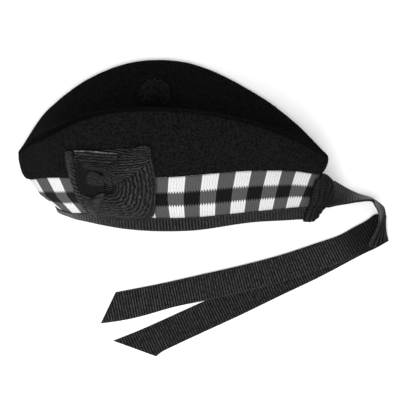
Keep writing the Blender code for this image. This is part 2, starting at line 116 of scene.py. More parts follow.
# Sections of the cap from front to back, in shares of the sizes above
STATIONS = named_rows(
    "girth along seam_y seam_z band_y band_z swell tuck crest_y crest_z fold valley_y valley_z far_y lift",
    (0.000, 0.00, -0.226, 0.170, 0.68, -0.07, 1.0, 0.26, -0.078, 0.144, 0.0, -0.078, 0.144, -0.078, 0.144),
    (0.078, 0.05, -0.248, 0.360, 0.79, 0.17, 0.9, 0.21, -0.041, 0.455, 0.8, 0.000, 0.243, 0.085, 0.000),
    (0.191, 0.12, -0.275, 0.595, 0.78, 0.32, 0.6, 0.50, -0.029, 0.757, 1.0, 0.034, 0.370, 0.217, 0.000),
    (0.314, 0.25, -0.291, 0.720, 0.83, 0.37, 0.3, 0.79, 0.034, 0.928, 1.0, 0.062, 0.405, 0.367, 0.000),
    (0.530, 0.50, -0.291, 0.777, 0.87, 0.40, 0.3, 0.91, 0.051, 1.000, 1.0, 0.067, 0.370, 0.444, 0.000),
    (0.748, 0.75, -0.246, 0.678, 0.89, 0.35, 0.3, 0.70, 0.000, 0.874, 1.0, 0.006, 0.333, 0.283, 0.000),
    (0.888, 0.90, -0.230, 0.537, 0.81, 0.28, 0.3, 0.84, -0.066, 0.689, 1.0, -0.050, 0.342, 0.088, 0.081),
    (1.000, 1.00, -0.218, 0.350, 0.72, 0.18, 0.3, 0.87, -0.123, 0.324, 0.0, -0.123, 0.324, -0.123, 0.324),
)
Ends = namedtuple("Ends", "front back")
HEM_ENDS = Ends(-0.375, 0.466)
BINDING_ENDS = Ends(-0.379, 0.463)
MIDDLE_ENDS = Ends(-0.432, 0.468)
SEAM_ENDS = Ends(-0.469, 0.472)
RIDGE_ENDS = Ends(-0.497, 0.487)
HEM, BINDING, MIDDLE, SEAM, BELLY_LINE, RIDGE = range(6)
BAND_OUTWARD = np.array([0, -0.7, 0.5])


def column(name):
    """One column of the stations' table."""
    return np.array([getattr(station, name) for station in STATIONS])


def line(ends, y, z):
    """One line of the cap at every station, its x running evenly between its ends."""
    x = CAP_LENGTH * (ends.front + (ends.back - ends.front) * column("along"))
    return np.stack([x, y, z], axis=1)


def upper_lines():
    """Every level of the upper side from the hem to the ridge, and its crest."""
    seam = line(SEAM_ENDS, CAP_SPREAD * column("seam_y") - REST_Y, RIDGE_HEIGHT * column("seam_z"))
    binding = line(BINDING_ENDS, seam[:, 1] - BAND_HEIGHT * column("band_y"),
                   seam[:, 2] - BAND_HEIGHT * column("band_z"))
    halfway = (seam + binding) / 2 + BAND_OUTWARD * BAND_SWELL * column("swell")[:, None]
    middle = line(MIDDLE_ENDS, halfway[:, 1], halfway[:, 2])
    tuck = column("tuck")
    hem = line(HEM_ENDS, binding[:, 1] - BINDING_WIDTH * tuck,
               binding[:, 2] - BINDING_WIDTH * np.sqrt(1 - tuck ** 2))
    crest = line(RIDGE_ENDS, CAP_SPREAD * column("crest_y") - REST_Y, RIDGE_HEIGHT * column("crest_z"))
    ridge = crest - np.array([0, FOLD_WIDTH, 0]) * column("fold")[:, None]
    rise = ridge - seam
    outward = np.stack([0 * rise[:, 0], -rise[:, 2], rise[:, 1]], axis=1)
    outward /= np.linalg.norm(outward, axis=1)[:, None]
    belly = (seam + ridge) / 2 + outward * BELLY * column("fold")[:, None]
    return [hem, binding, middle, seam, belly, ridge], crest


def lower_lines(upper):
    """The same lines on the lower side, which is as high and lies flat on the surface."""
    far_y = CAP_SPREAD * column("far_y") - REST_Y
    lift = RIDGE_HEIGHT * column("lift")
    lower = [None] * len(upper)
    lower[RIDGE] = line(RIDGE_ENDS, far_y, lift)
    drop = 0
    for level in range(BELLY_LINE, HEM - 1, -1):
        drop = drop + np.linalg.norm((upper[level + 1] - upper[level])[:, 1:], axis=1)
        lower[level] = np.stack([upper[level][:, 0], far_y - drop, lift], axis=1)
        lower[level][[0, -1]] = upper[level][[0, -1]]
    crest = lower[RIDGE] + np.array([0, 0, FOLD_WIDTH]) * column("fold")[:, None]
    return lower, crest


def on_ring(points, where):
    """The smooth closed curve through the points, at the shares `where` of its way round. Between two
    points it is the cubic with their places and their tangents."""
    half = column("girth") / 2
    knots = np.concatenate([half, 1 - half[-2::-1]])
    closed = np.concatenate([points, points[:1]])
    gaps = np.diff(knots)[:, None]
    slopes = np.diff(closed, axis=0) / gaps
    before = np.roll(slopes, 1, axis=0)
    gaps_before = np.roll(gaps, 1, axis=0)
    tangents = (slopes * gaps_before + before * gaps) / (gaps + gaps_before)
    tangents = np.concatenate([tangents, tangents[:1]])
    where = np.mod(where, 1.0)
    index = np.clip(np.searchsorted(knots, where, side="right") - 1, 0, len(gaps) - 1)
    step = gaps[index]
    t = (where[..., None] - knots[index][..., None]) / step
    place = (2 * t ** 3 - 3 * t ** 2 + 1) * closed[index] + (3 * t ** 2 - 2 * t ** 3) * closed[index + 1]
    slope = (t ** 3 - 2 * t ** 2 + t) * tangents[index] + (t ** 3 - t ** 2) * tangents[index + 1]
    return place + step * slope


def ring(upper, lower):
    """A closed run of points, along the upper line and back along the lower one."""
    return np.concatenate([upper, lower[-2:0:-1]])


UPPER, UPPER_CREST = upper_lines()
LOWER, LOWER_CREST = lower_lines(UPPER)
SIDE_RINGS = [ring(upper, lower) for upper, lower in zip(UPPER, LOWER)]
CREST_RING = ring(UPPER_CREST, LOWER_CREST)
VALLEY = line(RIDGE_ENDS, CAP_SPREAD * column("valley_y") - REST_Y, RIDGE_HEIGHT * column("valley_z"))
VALLEY_RING = ring(VALLEY, VALLEY)


def unit(vectors):
    """The vectors at a length of one."""
    return vectors / np.maximum(np.linalg.norm(vectors, axis=-1, keepdims=True), 1e-12)


def kept_above(low, points):
    """The points, with none of them lower than `low`."""
    points[..., 2] = np.maximum(points[..., 2], low)
    return points


def side_point(around, level):
    """A point of the cap's side: `around` is 0 at the front fold and 0.5 at the back one, and `level`
    counts the lines from the hem to the ridge, with straight runs between them."""
    lines = kept_above(0, np.stack([on_ring(points, around) for points in SIDE_RINGS]))
    low = np.clip(np.floor(level).astype(int), HEM, RIDGE - 1)
    share = (level - low)[..., None]
    here = np.take_along_axis(lines, low[None, ..., None], axis=0)[0]
    above = np.take_along_axis(lines, low[None, ..., None] + 1, axis=0)[0]
    return here * (1 - share) + above * share


def on_side(around, level, depth):
    """A point at `depth` outside the cap's side, along the normal from two short steps each way, and
    never below the surface it lies on."""
    around, level, depth = np.broadcast_arrays(np.asarray(around, float), level, depth)
    step = 0.004
    along = side_point(around + step, level) - side_point(around - step, level)
    up = side_point(around, level + 10 * step) - side_point(around, level - 10 * step)
    return kept_above(0, side_point(around, level) + unit(np.cross(along, up)) * depth[..., None])


EVEN = np.linspace(0, 1, SECTIONS)
GIRTH = (1 - CROWDING) * EVEN + CROWDING * (1 - np.cos(math.pi * EVEN)) / 2

# How far from each tip the skins of the felt end, as shares of the half girth
Nose = namedtuple("Nose", "seam belly ridge")
OUTER_NOSES = Ends(Nose(0, 0, 0), Nose(0, 0, 0))
INNER_NOSES = Ends(Nose(0.010, 0.045, 0.060), Nose(0.060, 0.060, 0.060))


def crown_corners(noses):
    """Corners of the crown's sections, from the upper seam over both ridges to the lower seam."""
    seam, belly, ridge = [front + (1 - front - back) * GIRTH for front, back in zip(*noses)]
    sides = ((SIDE_RINGS[SEAM], seam), (SIDE_RINGS[BELLY_LINE], belly), (SIDE_RINGS[RIDGE], ridge),
             (CREST_RING, ridge))
    corners = [on_ring(points, where / 2) for points, where in sides]
    corners += [on_ring(VALLEY_RING, ridge / 2)]
    corners += [on_ring(points, 1 - where / 2) for points, where in reversed(sides)]
    return kept_above(0, np.stack(corners, axis=1))


def inset(corners, depth):
    """The corners moved inwards, so that every panel of a section is `depth` further in."""
    panels = np.diff(corners, axis=1)
    inward = unit(np.stack([0 * panels[..., 0], panels[..., 2], -panels[..., 1]], axis=-1))
    before = np.concatenate([inward[:, :1], inward], axis=1)
    after = np.concatenate([inward, inward[:, -1:]], axis=1)
    cosine = np.sum(before * after, axis=-1, keepdims=True)
    return corners + depth * (before + after) / (1 + cosine)


def rounded(corners, bends, limit=0.45):
    """Polylines through the corners, each inner one rounded by a parabola that starts and ends one bend
    away from it, or at the `limit` of its shorter neighbour where that is nearer."""
    panel = np.arange(1, PANEL_STEPS + 1) / PANEL_STEPS
    turn = np.arange(BEND_STEPS + 1) / BEND_STEPS
    points = [corners[:, 0]]
    for index, bend in enumerate(bends, start=1):
        corner = corners[:, index]
        back = corners[:, index - 1] - corner
        forth = corners[:, index + 1] - corner
        reach = np.minimum(np.linalg.norm(back, axis=1), np.linalg.norm(forth, axis=1))
        reach = np.minimum(bend, limit * reach)[:, None]
        start = corner + unit(back) * reach
        end = corner + unit(forth) * reach
        last = points[-1]
        points += [last + (start - last) * share for share in panel[:-1]]
        points += [(1 - share) ** 2 * start + 2 * share * (1 - share) * corner + share ** 2 * end
                   for share in turn]
    last = points[-1]
    points += [last + (corners[:, -1] - last) * share for share in panel]
    return np.stack(points, axis=1)


def ripple(points, length, turn):
    """A smooth uneven field from -1 to 1: the mean of four plane waves about `length` long, each turned
    further and a little shorter than the one before."""
    total = 0
    for number in range(4):
        angle = turn + 2.4 * number
        wave = np.array([math.cos(angle), math.sin(angle), math.sin(1.7 * angle)]) * (1 + 0.23 * number)
        total = total + np.sin(points @ wave * 2 * math.pi / length + 5 * angle)
    return total / 4


def grid_faces(rows, columns, start=0, flip=False, closed_rows=False, closed_columns=False):
    """Quads over a grid of vertices that is stored row by row from index `start`."""
    row = np.arange(rows if closed_rows else rows - 1)[:, None]
    col = np.arange(columns if closed_columns else columns - 1)[None, :]
    next_row, next_col = (row + 1) % rows, (col + 1) % columns
    corners = [row * columns + col, row * columns + next_col, next_row * columns + next_col,
               next_row * columns + col]
    faces = start + np.stack(np.broadcast_arrays(*corners), axis=-1).reshape(-1, 4)
    return faces[:, ::-1] if flip else faces


def both_skins(rows, columns):
    """The quads of two grids of the same size, the second one turned over, as a list."""
    second = grid_faces(rows, columns, rows * columns, flip=True)
    return np.concatenate([grid_faces(rows, columns), second]).tolist()


def copies(faces, number, count):
    """The same faces once for each of `number` copies of `count` vertices."""
    faces = np.array(faces)
    return (faces[None] + (np.arange(number) * count)[:, None, None]).reshape(-1, faces.shape[1])


def add(name, data):
    """One object in the scene."""
    made = bpy.data.objects.new(name, data)
    bpy.context.scene.collection.objects.link(made)
    return made


def piece(name, vertices, faces, material, uv=None):
    """One mesh object at the origin, from grids of vertices taken row by row; `uv` gives a pair for
    every vertex, for the map named "cloth"."""
    mesh = bpy.data.meshes.new(name)
    mesh.from_pydata(np.reshape(vertices, (-1, 3)).tolist(), [], [list(map(int, face)) for face in faces])
    if uv is not None:
        corners = np.empty(len(mesh.loops), dtype=np.int32)
        mesh.loops.foreach_get("vertex_index", corners)
        layer = mesh.uv_layers.new(name="cloth")
        layer.data.foreach_set("uv", np.reshape(uv, (-1, 2)).astype(np.float32)[corners].ravel())
    mesh.materials.append(material)
    mesh.shade_smooth()
    made = add(name, mesh)
    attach(made, "root")
    return made


def mark(made, name, values):
    """Writes one value for every vertex, which a material reads as a shade."""
    layer = made.data.attributes.new(name, "FLOAT", "POINT")
    values = np.broadcast_to(np.ravel(values), len(made.data.vertices))
    layer.data.foreach_set("value", values.astype(np.float32))


def put(tree, kind, feeds=(), **settings):
    """Adds a shader node and feeds its inputs, by name or number, with values or other sockets."""
    node = tree.nodes.new("ShaderNode" + kind)
    for key, value in settings.items():
        setattr(node, key, value)
    for key, feed in dict(feeds).items():
        if isinstance(feed, bpy.types.NodeSocket):
            tree.links.new(feed, node.inputs[key])
        else:
            node.inputs[key].default_value = feed
    return node


def calc(tree, operation, *feeds):
    """The result of one Math node."""
    return put(tree, "Math", enumerate(feeds), operation=operation).outputs[0]


def blend(tree, share, here, there, way="MIX"):
    """Two colours mixed by a share; a plain number may stand for a grey."""
    return put(tree, "Mix", {0: share, 6: here, 7: there}, data_type="RGBA", blend_type=way).outputs[2]


def spread(tree, value, low, high, least=0.0, most=1.0):
    """A value between `low` and `high` spread from `least` to `most`, and kept within them."""
    ends = {"From Min": low, "From Max": high, "To Min": least, "To Max": most}
    return put(tree, "MapRange", {"Value": value, **ends}).outputs[0]


def noise(tree, place, scale, detail, **more):
    """The value of a noise texture; `more` feeds its other inputs by name."""
    return put(tree, "TexNoise", {"Vector": place, "Scale": scale, "Detail": detail, **more}).outputs[0]


def finish(name, colour, roughness, sheen=0.0, specular=0.3):
    """A material with its Principled shader, whose plain values sit on the shader's own sockets."""
    material = bpy.data.materials.new(name)
    material.use_nodes = True
    shader = material.node_tree.nodes["Principled BSDF"]
    shader.inputs["Base Color"].default_value = (*colour, 1)
    shader.inputs["Roughness"].default_value = roughness
    shader.inputs["Specular IOR Level"].default_value = specular
    shader.inputs["Sheen Weight"].default_value = sheen
    return material, material.node_tree, shader


def dress(tree, shader, colour, height, strength, distance):
    """Gives the shader its colour, and a height as its bump."""
    bump = put(tree, "Bump", {"Strength": strength, "Distance": distance, "Height": height})
    tree.links.new(colour, shader.inputs["Base Color"])
    tree.links.new(bump.outputs[0], shader.inputs["Normal"])


TUFT_FINENESS = 0.33
TUFT_SHARE = 0.38


def wool_nap():
    """Node group for the nap of wool: matted fibres mixed with coarser tufts as a shade, and the
    fibres alone as a height."""
    group = bpy.data.node_groups.new("wool_nap", "ShaderNodeTree")
    for label, kind, way in (("Vector", "Vector", "INPUT"), ("Fineness", "Float", "INPUT"),
                             ("Shade", "Float", "OUTPUT"), ("Height", "Float", "OUTPUT")):
        group.interface.new_socket(label, in_out=way, socket_type="NodeSocket" + kind)
    entry = group.nodes.new("NodeGroupInput")
    leave = group.nodes.new("NodeGroupOutput")
    place, fineness = entry.outputs["Vector"], entry.outputs["Fineness"]
    fibre = noise(group, place, fineness, 4.0, Roughness=0.65, Distortion=0.6)
    tuft = noise(group, place, calc(group, "MULTIPLY", fineness, TUFT_FINENESS), 3.0)
    shade = calc(group, "MULTIPLY_ADD", tuft, TUFT_SHARE, calc(group, "MULTIPLY", fibre, 1 - TUFT_SHARE))
    group.links.new(shade, leave.inputs["Shade"])
    group.links.new(fibre, leave.inputs["Height"])
    return group


NAP = wool_nap()


def nap(tree, fineness):
    """The shade and the height of the wool nap, on a piece's own coordinates."""
    node = put(tree, "Group", node_tree=NAP)
    tree.links.new(put(tree, "TexCoord").outputs["Object"], node.inputs["Vector"])
    node.inputs["Fineness"].default_value = fineness
    return node.outputs["Shade"], node.outputs["Height"]


def tones(tree, colour, shares, shade, contrast):
    """From the darkest to the lightest tone of a colour, over the stretch of the shade between both
    ends of the contrast; the tones are shares of the colour."""
    dark, light = [(*[share * value for value in colour], 1) for share in shares]
    return blend(tree, spread(tree, shade, *contrast), dark, light)


def felt():
    """Thick matted wool: a fine nap with small tufts, and painted shade on the top and in its fold."""
    material, tree, shader = finish("black_felt", FELT_COLOUR, 0.95, sheen=0.002, specular=0.01)
    shader.inputs["Sheen Roughness"].default_value = 0.6
    shade, height = nap(tree, FELT_FINENESS)
    dyed = tones(tree, FELT_COLOUR, FELT_TONES, shade, FELT_CONTRAST)
    # Painted shade: darker on the top, and darker still in the fold behind the upper ridge
    painted_light_factor = calc(tree, "SUBTRACT", 1.0, put(tree, "Attribute", attribute_name="painted_top_shade").outputs["Fac"])
    dress(tree, shader, blend(tree, 1.0, dyed, painted_light_factor, "MULTIPLY"), height, 0.7, 0.0008)
    return material


def smooth_step(low, high, value):
    """Rises smoothly from 0 at `low` to 1 at `high`."""
    share = np.clip((value - low) / (high - low), 0, 1)
    return share ** 2 * (3 - 2 * share)


def tip_bulge(columns):
    """How far each side swells past the straight line at both tips, along x: half a sine from the seam
    to the ridge, drawn down by its warp, that fades out along the girth."""
    up = np.minimum(1, np.minimum(np.arange(columns), np.arange(columns)[::-1]) / RIDGE_COLUMN)
    front, back = [bulge.reach * np.sin(math.pi * up ** bulge.warp).clip(0) for bulge in TIP_BULGES]
    return (smooth_step(TIP_SHARE, 0, GIRTH)[:, None] * front[None, :]
            + smooth_step(1 - TIP_SHARE, 1, GIRTH)[:, None] * back[None, :])


def painted_top_shade(columns):
    """How much painted shade darkens the felt: a little on the top, and more as a painted shadow in
    its fold; 0 on both sides."""
    number = np.arange(columns)[None, :]
    from_seam = np.minimum(number, number[:, ::-1])
    girth, share, dark = np.array(PAINTED_TOP_SHADE).T
    start = RIDGE_COLUMN + FOLD_COLUMNS * np.interp(GIRTH, girth, share)[:, None]
    near, far = FOLD_SHADOW
    painted_fold_shade = np.interp(GIRTH, girth, dark)[:, None] * (1 - smooth_step(start + near, start + far, number))
    return smooth_step(start - PAINTED_SHADE_BLUR, start + PAINTED_SHADE_BLUR, from_seam) * (TOP_PAINTED_SHADE + painted_fold_shade)


def crown():
    """Both skins of the felt shell; the outer one closes at the tips and sways a little."""
    half = [BELLY_BEND, RIDGE_BEND, CREST_BEND]
    bends = np.array([*half, VALLEY_BEND, *reversed(half)])
    outer = rounded(crown_corners(OUTER_NOSES), bends)
    inner = rounded(inset(crown_corners(INNER_NOSES), FELT), np.maximum(bends - FELT, 0))
    for skin, depth in ((outer, SEAM_ROLL), (inner, FELT)):
        skin[:, 0] = on_side(GIRTH / 2, float(SEAM), -depth)
        skin[:, -1] = on_side(1 - GIRTH / 2, float(SEAM), -depth)
    rows, columns = outer.shape[:2]
    for skin in (outer, inner):
        skin[..., 0] += tip_bulge(columns)
    normals = unit(np.cross(np.gradient(outer, axis=0), np.gradient(outer, axis=1)))
    across = np.sin(math.pi * np.linspace(0, 1, columns))[None, :, None] ** 0.5
    along = np.sin(math.pi * EVEN)[:, None, None] ** 0.5
    sway = sum(wave.share * ripple(outer, wave.length, wave.turn) for wave in FELT_WAVES)
    outer = kept_above(0, outer + normals * FELT_WAVE * across * along * sway[..., None])
    under = rows * columns
    faces = both_skins(rows, columns)
    for edge in (0, columns - 1):
        here = np.arange(rows - 1) * columns + edge
        faces += np.stack([here, here + columns, here + columns + under, here + under], axis=1).tolist()
    for row in (0, rows - 1):
        first = under + row * columns
        faces.append(list(range(first, first + columns - 1)))
    made = piece("felt_crown", np.stack([outer, inner]), faces, felt())
    # Painted shade of the top and its fold, on both skins
    mark(made, "painted_top_shade", np.tile(painted_top_shade(columns), (2, 1)))
    return close_tips(made), outer


def close_tips(made, merge=1e-6):
    """Joins the points that meet at both tips."""
    body = bmesh.new()
    body.from_mesh(made.data)
    bmesh.ops.remove_doubles(body, verts=body.verts, dist=merge)
    bmesh.ops.recalc_face_normals(body, faces=body.faces)
    body.to_mesh(made.data)
    body.free()
    return made


FUZZ_FIBRES = 9000
FUZZ_LENGTH = (0.0008, 0.0022)
FUZZ_WIDTH = 0.00004
FUZZ_TAPER = 0.7
FUZZ_POINTS = 4
FUZZ_SLANT = 0.9
FUZZ_RISE = 0.15
FUZZ_CURL = 0.3


def fuzz(outer):
    """Stray wool fibres: thin tapering strips that leave the felt at random places and slants, rise at
    least a little, and bend by the square of the way along them."""
    chance = np.random.default_rng(11)
    row = chance.integers(2, outer.shape[0] - 2, FUZZ_FIBRES)
    col = chance.integers(1, outer.shape[1] - 1, FUZZ_FIBRES)
    along, across = outer[row + 1, col] - outer[row - 1, col], outer[row, col + 1] - outer[row, col - 1]
    out = unit(np.cross(along, across))
    foot = outer[row, col] + (outer[row + 1, col] - outer[row, col]) * chance.random((FUZZ_FIBRES, 1))
    lean = unit(out + FUZZ_SLANT * chance.normal(size=out.shape))
    lean = unit(lean + out * np.maximum(0, FUZZ_RISE - np.sum(lean * out, axis=1, keepdims=True)))
    curl = np.cross(lean, chance.normal(size=out.shape))
    length = chance.uniform(*FUZZ_LENGTH, (FUZZ_FIBRES, 1))
    share = np.linspace(0, 1, FUZZ_POINTS)[None, :, None]
    bent = FUZZ_CURL * curl[:, None] * share ** 2
    path = foot[:, None] + length[:, None] * (lean[:, None] * share + bent)
    side = unit(np.cross(lean, curl))[:, None] * FUZZ_WIDTH * (1 - FUZZ_TAPER * share)
    points = kept_above(0, np.stack([path - side, path + side], axis=2))
    count = 2 * FUZZ_POINTS
    faces = copies(grid_faces(FUZZ_POINTS, 2), FUZZ_FIBRES, count)
    made = piece("felt_fuzz", points, faces, felt_crown.data.materials[0])
    # The fibres carry the painted shade of the felt where they stand
    mark(made, "painted_top_shade", np.repeat(painted_top_shade(outer.shape[1])[row, col], count))
    return made


felt_crown, crown_skin = crown()
felt_fuzz = fuzz(crown_skin)
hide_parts("crown_left_side", "crown_top", "crown_right_side")

# Diced band
# Three rows of dice knitted in white, grey and black wool. The rows step up and down in wales,
# and the band is sewn to the crown above and bound with ribbon below.
KNIT = 0.002
SEAM_STEP = 0.0015
GAP = 0.0003
WALES = 6
COURSES = 8
DICE_WHITE = (0.72, 0.72, 0.72)
DICE_GREY = (0.088, 0.088, 0.088)
DICE_BLACK = (0.0072, 0.0072, 0.0072)

# The band's grid, and where under the binding it starts. A stitch's legs rise by more than one
# course. Painted shade and light multiply the dye from groove to crest, the nap by its share and a rest
BAND_SECTIONS = 560
BAND_LINES = 25
BAND_FOOT = 0.15
STITCH_SLANT = 1.8
KNIT_PAINTED_SHADE = (0.42, 1.30)
KNIT_NAP_TONES = (0.36, 0.82)
KNIT_FINENESS = 2600.0
KNIT_FIBRE = 0.35

# Dice counted along the seam from the front, and how far each row leans, in half girths
DICE_COUNTS = named_rows(
    "girth dice lean",
    (0.000, 0.19, 0.0000),
    (0.049, 1.00, 0.0010),
    (0.110, 2.00, 0.0030),
    (0.182, 3.00, 0.0065),
    (0.510, 10.00, 0.0135),
    (0.704, 14.00, 0.0135),
    (0.940, 19.00, 0.0125),
    (1.000, 20.27, 0.0125),
)


def woven(tree):
    """Both values of a piece's own map."""
    place = put(tree, "UVMap", uv_map="cloth").outputs[0]
    return put(tree, "SeparateXYZ", {0: place}).outputs[:2]


def knit():
    """Dice counted in whole stitches, each stitch a V of two slanted legs."""
    material, tree, shader = finish("diced_knit", DICE_GREY, 0.92, sheen=0.016, specular=0.04)
    dice, row = woven(tree)
    wale = calc(tree, "FRACT", calc(tree, "MULTIPLY", dice, float(WALES)))
    leg = calc(tree, "ABSOLUTE", calc(tree, "MULTIPLY_ADD", wale, 2.0, -1.0))
    course = calc(tree, "MULTIPLY_ADD", row, float(COURSES), calc(tree, "MULTIPLY", leg, STITCH_SLANT))
    stitch = calc(tree, "FRACT", course)
    row_number = calc(tree, "FLOOR", calc(tree, "DIVIDE", calc(tree, "FLOOR", course), float(COURSES)))
    odd = calc(tree, "FLOORED_MODULO", calc(tree, "FLOOR", dice), 2.0)
    middle = calc(tree, "COMPARE", row_number, 1.0, 0.5)
    edge_row = blend(tree, odd, (*DICE_WHITE, 1), (*DICE_GREY, 1))
    middle_row = blend(tree, odd, (*DICE_GREY, 1), (*DICE_BLACK, 1))
    dyed = blend(tree, middle, edge_row, middle_row)
    leg_round = calc(tree, "ABSOLUTE", calc(tree, "SINE", calc(tree, "MULTIPLY", wale, 2 * math.pi)))
    stitch_round = calc(tree, "SINE", calc(tree, "MULTIPLY", stitch, math.pi))
    groove = calc(tree, "SINE", calc(tree, "MULTIPLY", wale, math.pi))
    leg_relief = calc(tree, "MULTIPLY", calc(tree, "MULTIPLY", leg_round, stitch_round), groove)
    relief = calc(tree, "POWER", leg_relief, 0.5)
    shade, fibre = nap(tree, KNIT_FINENESS)
    # Painted shade darkens the grooves between stitches and painted light brightens their crests; worn
    # carries it, times the nap's tones
    depth = spread(tree, relief, 0.0, 1.0, *KNIT_PAINTED_SHADE)
    worn = calc(tree, "MULTIPLY", depth, calc(tree, "MULTIPLY_ADD", shade, *KNIT_NAP_TONES))
    height = calc(tree, "MULTIPLY_ADD", fibre, KNIT_FIBRE, relief)
    dress(tree, shader, blend(tree, 1.0, dyed, worn, "MULTIPLY"), height, 0.7, 0.0007)
    return material


def band():
    """A ring from under the binding to the seam; u counts dice from the front, v counts rows."""
    top = SEAM - (SEAM - BINDING) * GAP / BAND_HEIGHT
    level = np.concatenate([[BAND_FOOT], np.linspace(BINDING, top, BAND_LINES)])
    side, height = np.meshgrid(np.linspace(-1, 1, BAND_SECTIONS), level, indexing="ij")
    outside = on_side(side / 2, height, -SEAM_STEP)
    inside = on_side(side / 2, height - 3 * GAP / BAND_HEIGHT * (height > MIDDLE), -SEAM_STEP - KNIT)
    row = 3 * np.clip((height - BINDING) / (SEAM - BINDING), -0.1, 1)
    girth, dice, lean = np.array(DICE_COUNTS).T
    from_front = np.abs(side) + np.interp(np.abs(side), girth, lean) * (2.5 - row)
    counted = np.interp(from_front, girth, dice)
    counted = np.where(side < 0, 2 * dice[0] - counted, counted)
    uv = np.stack([counted + 100, row], axis=-1)
    points = np.concatenate([outside, inside[:, ::-1]], axis=1)
    uv = np.concatenate([uv, uv[:, ::-1]], axis=1)
    faces = grid_faces(*points.shape[:2], closed_columns=True)
    return piece("diced_knit_band", points, faces, knit(), uv)


knit_band = band()
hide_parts("diced_band")

# Hem binding
# Black grosgrain ribbon folded over the lower edge of the band and stitched through both
# sides. Its ribs run across the ribbon, so they stand square to the hem.
BINDING_CLOTH = 0.001
RIB_PITCH = 0.0020
BINDING_RIB = 0.0030
BINDING_SHADE = 0.25
BINDING_SECTIONS = 640
STRIP_STEPS = 7
ROUND_STEPS = 9
RIBBON_COLOUR = (0.0054, 0.0054, 0.0056)

# The ribbon's ribs drift sideways and have threads over them. The ribbon is worn in patches and
# flat at both selvedges. Painted shade makes a rib black up to a share of its height, painted light
# makes its top and both selvedges lightest, and painted shade darkens the ribbon deep in its folds
RIB_DRIFT = 0.0004
DRIFT_FINENESS = 160.0
THREAD_RELIEF = 0.2
THREAD_FINENESS = 2400.0
WORN_TONES = (0.35, 1.65)
WORN_FINENESS = 420.0
SELVEDGE = (0.93, 0.97)
RIB_PAINTED_SHADE = 0.35
RIB_PAINTED_LIGHT = 4.4
FOLD_PAINTED_SHADE = -0.85


def grosgrain():
    """Ribs across the ribbon from u in metres; v runs from -1 to 1 between the woven edges. The
    fold_shade of a vertex is painted shade for how deep in a fold it lies; below 0 a painted highlight."""
    material, tree, shader = finish("black_grosgrain", RIBBON_COLOUR, 0.42, sheen=0.016, specular=0.11)
    place = put(tree, "TexCoord").outputs["Object"]
    along, across = woven(tree)
    along = calc(tree, "MULTIPLY_ADD", noise(tree, place, DRIFT_FINENESS, 1.0), RIB_DRIFT, along)
    rib = calc(tree, "ABSOLUTE", calc(tree, "SINE", calc(tree, "MULTIPLY", along, math.pi / RIB_PITCH)))
    edge = spread(tree, calc(tree, "ABSOLUTE", across), *SELVEDGE)
    raised = calc(tree, "MAXIMUM", rib, edge)
    height = calc(tree, "MULTIPLY_ADD", noise(tree, place, THREAD_FINENESS, 2.0), THREAD_RELIEF, raised)
    # Painted light and shade: the ribs' tops and the selvedges lightest, the grooves black
    painted_rib_light = spread(tree, raised, RIB_PAINTED_SHADE, 1.0, 0.0, RIB_PAINTED_LIGHT)
    worn = spread(tree, noise(tree, place, WORN_FINENESS, 1.0), 0.3, 0.7, *WORN_TONES)
    painted_fold_shade = put(tree, "Attribute", attribute_name="fold_shade").outputs["Fac"]
    painted_light_factor = calc(tree, "MULTIPLY", painted_rib_light, calc(tree, "MULTIPLY_ADD", painted_fold_shade, FOLD_PAINTED_SHADE, 1.0))
    colour = blend(tree, 1.0, (*RIBBON_COLOUR, 1), calc(tree, "MULTIPLY", painted_light_factor, worn), "MULTIPLY")
    dress(tree, shader, colour, height, 0.9, 0.0010)
    return material


GROSGRAIN = grosgrain()


def thicken(made, cloth):
    """Gives a sheet its thickness, half to each side."""
    modifier = made.modifiers.new("cloth", "SOLIDIFY")
    modifier.thickness = cloth
    modifier.offset = 0
    return made


def hem_binding():
    """A sheet folded over the hem: outside strip, half round, inside strip."""
    outer = -SEAM_STEP + GAP + BINDING_CLOTH / 2
    inner = -SEAM_STEP - KNIT - GAP - BINDING_CLOTH / 2
    radius = (outer - inner) / 2
    turn = np.linspace(0, math.pi, ROUND_STEPS)
    low = radius / BINDING_WIDTH
    strip = np.linspace(BINDING, low, STRIP_STEPS, endpoint=False)
    level = np.concatenate([strip, low - low * np.sin(turn), strip[::-1]])
    bent = (outer + inner) / 2 + radius * np.cos(turn)
    depth = np.concatenate([0 * strip + outer, bent, 0 * strip + inner])
    around = np.linspace(0, 1, BINDING_SECTIONS, endpoint=False)
    side, height = np.meshgrid(around, level, indexing="ij")
    points = on_side(side, height, np.broadcast_to(depth, side.shape))
    length = np.linalg.norm(np.diff(points[:, 0], axis=0, append=points[:1, 0]), axis=1)
    run = np.cumsum(np.concatenate([[0], length[:-1]]))
    across = np.linspace(-1, 1, len(level))
    uv = np.stack(np.broadcast_arrays(run[:, None] * RIB_PITCH / BINDING_RIB, across[None, :]), axis=-1)
    faces = grid_faces(*points.shape[:2], closed_rows=True)
    made = piece("ribbon_binding", points, faces, GROSGRAIN, uv)
    mark(made, "fold_shade", BINDING_SHADE)
    return thicken(made, BINDING_CLOTH)


ribbon_binding = hem_binding()
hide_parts("hem_binding")

# Cockade
# A flat bow of wide grosgrain, sewn on over the band: a base strip with a plaited edge, a loop to
# each side of a tight pinch, pressed pleats, a turned-down flap with a tongue, and a wedge.
COCKADE_CLOTH = 0.0008
MILLIMETRE = 0.001
COCKADE_RIB = 0.00045
COCKADE_WAVES = (0.30, 0.0085)
COCKADE_SHADE = 0.36
COCKADE_EDGES = named_rows(
    "level rear front",
    (0.80, 0.230, 0.402),
    (1.20, 0.218, 0.435),
    (1.61, 0.218, 0.451),
    (2.32, 0.226, 0.470),
    (2.85, 0.232, 0.479),
    (3.13, 0.234, 0.478),
    (3.81, 0.234, 0.469),
    (4.02, 0.236, 0.465),
)

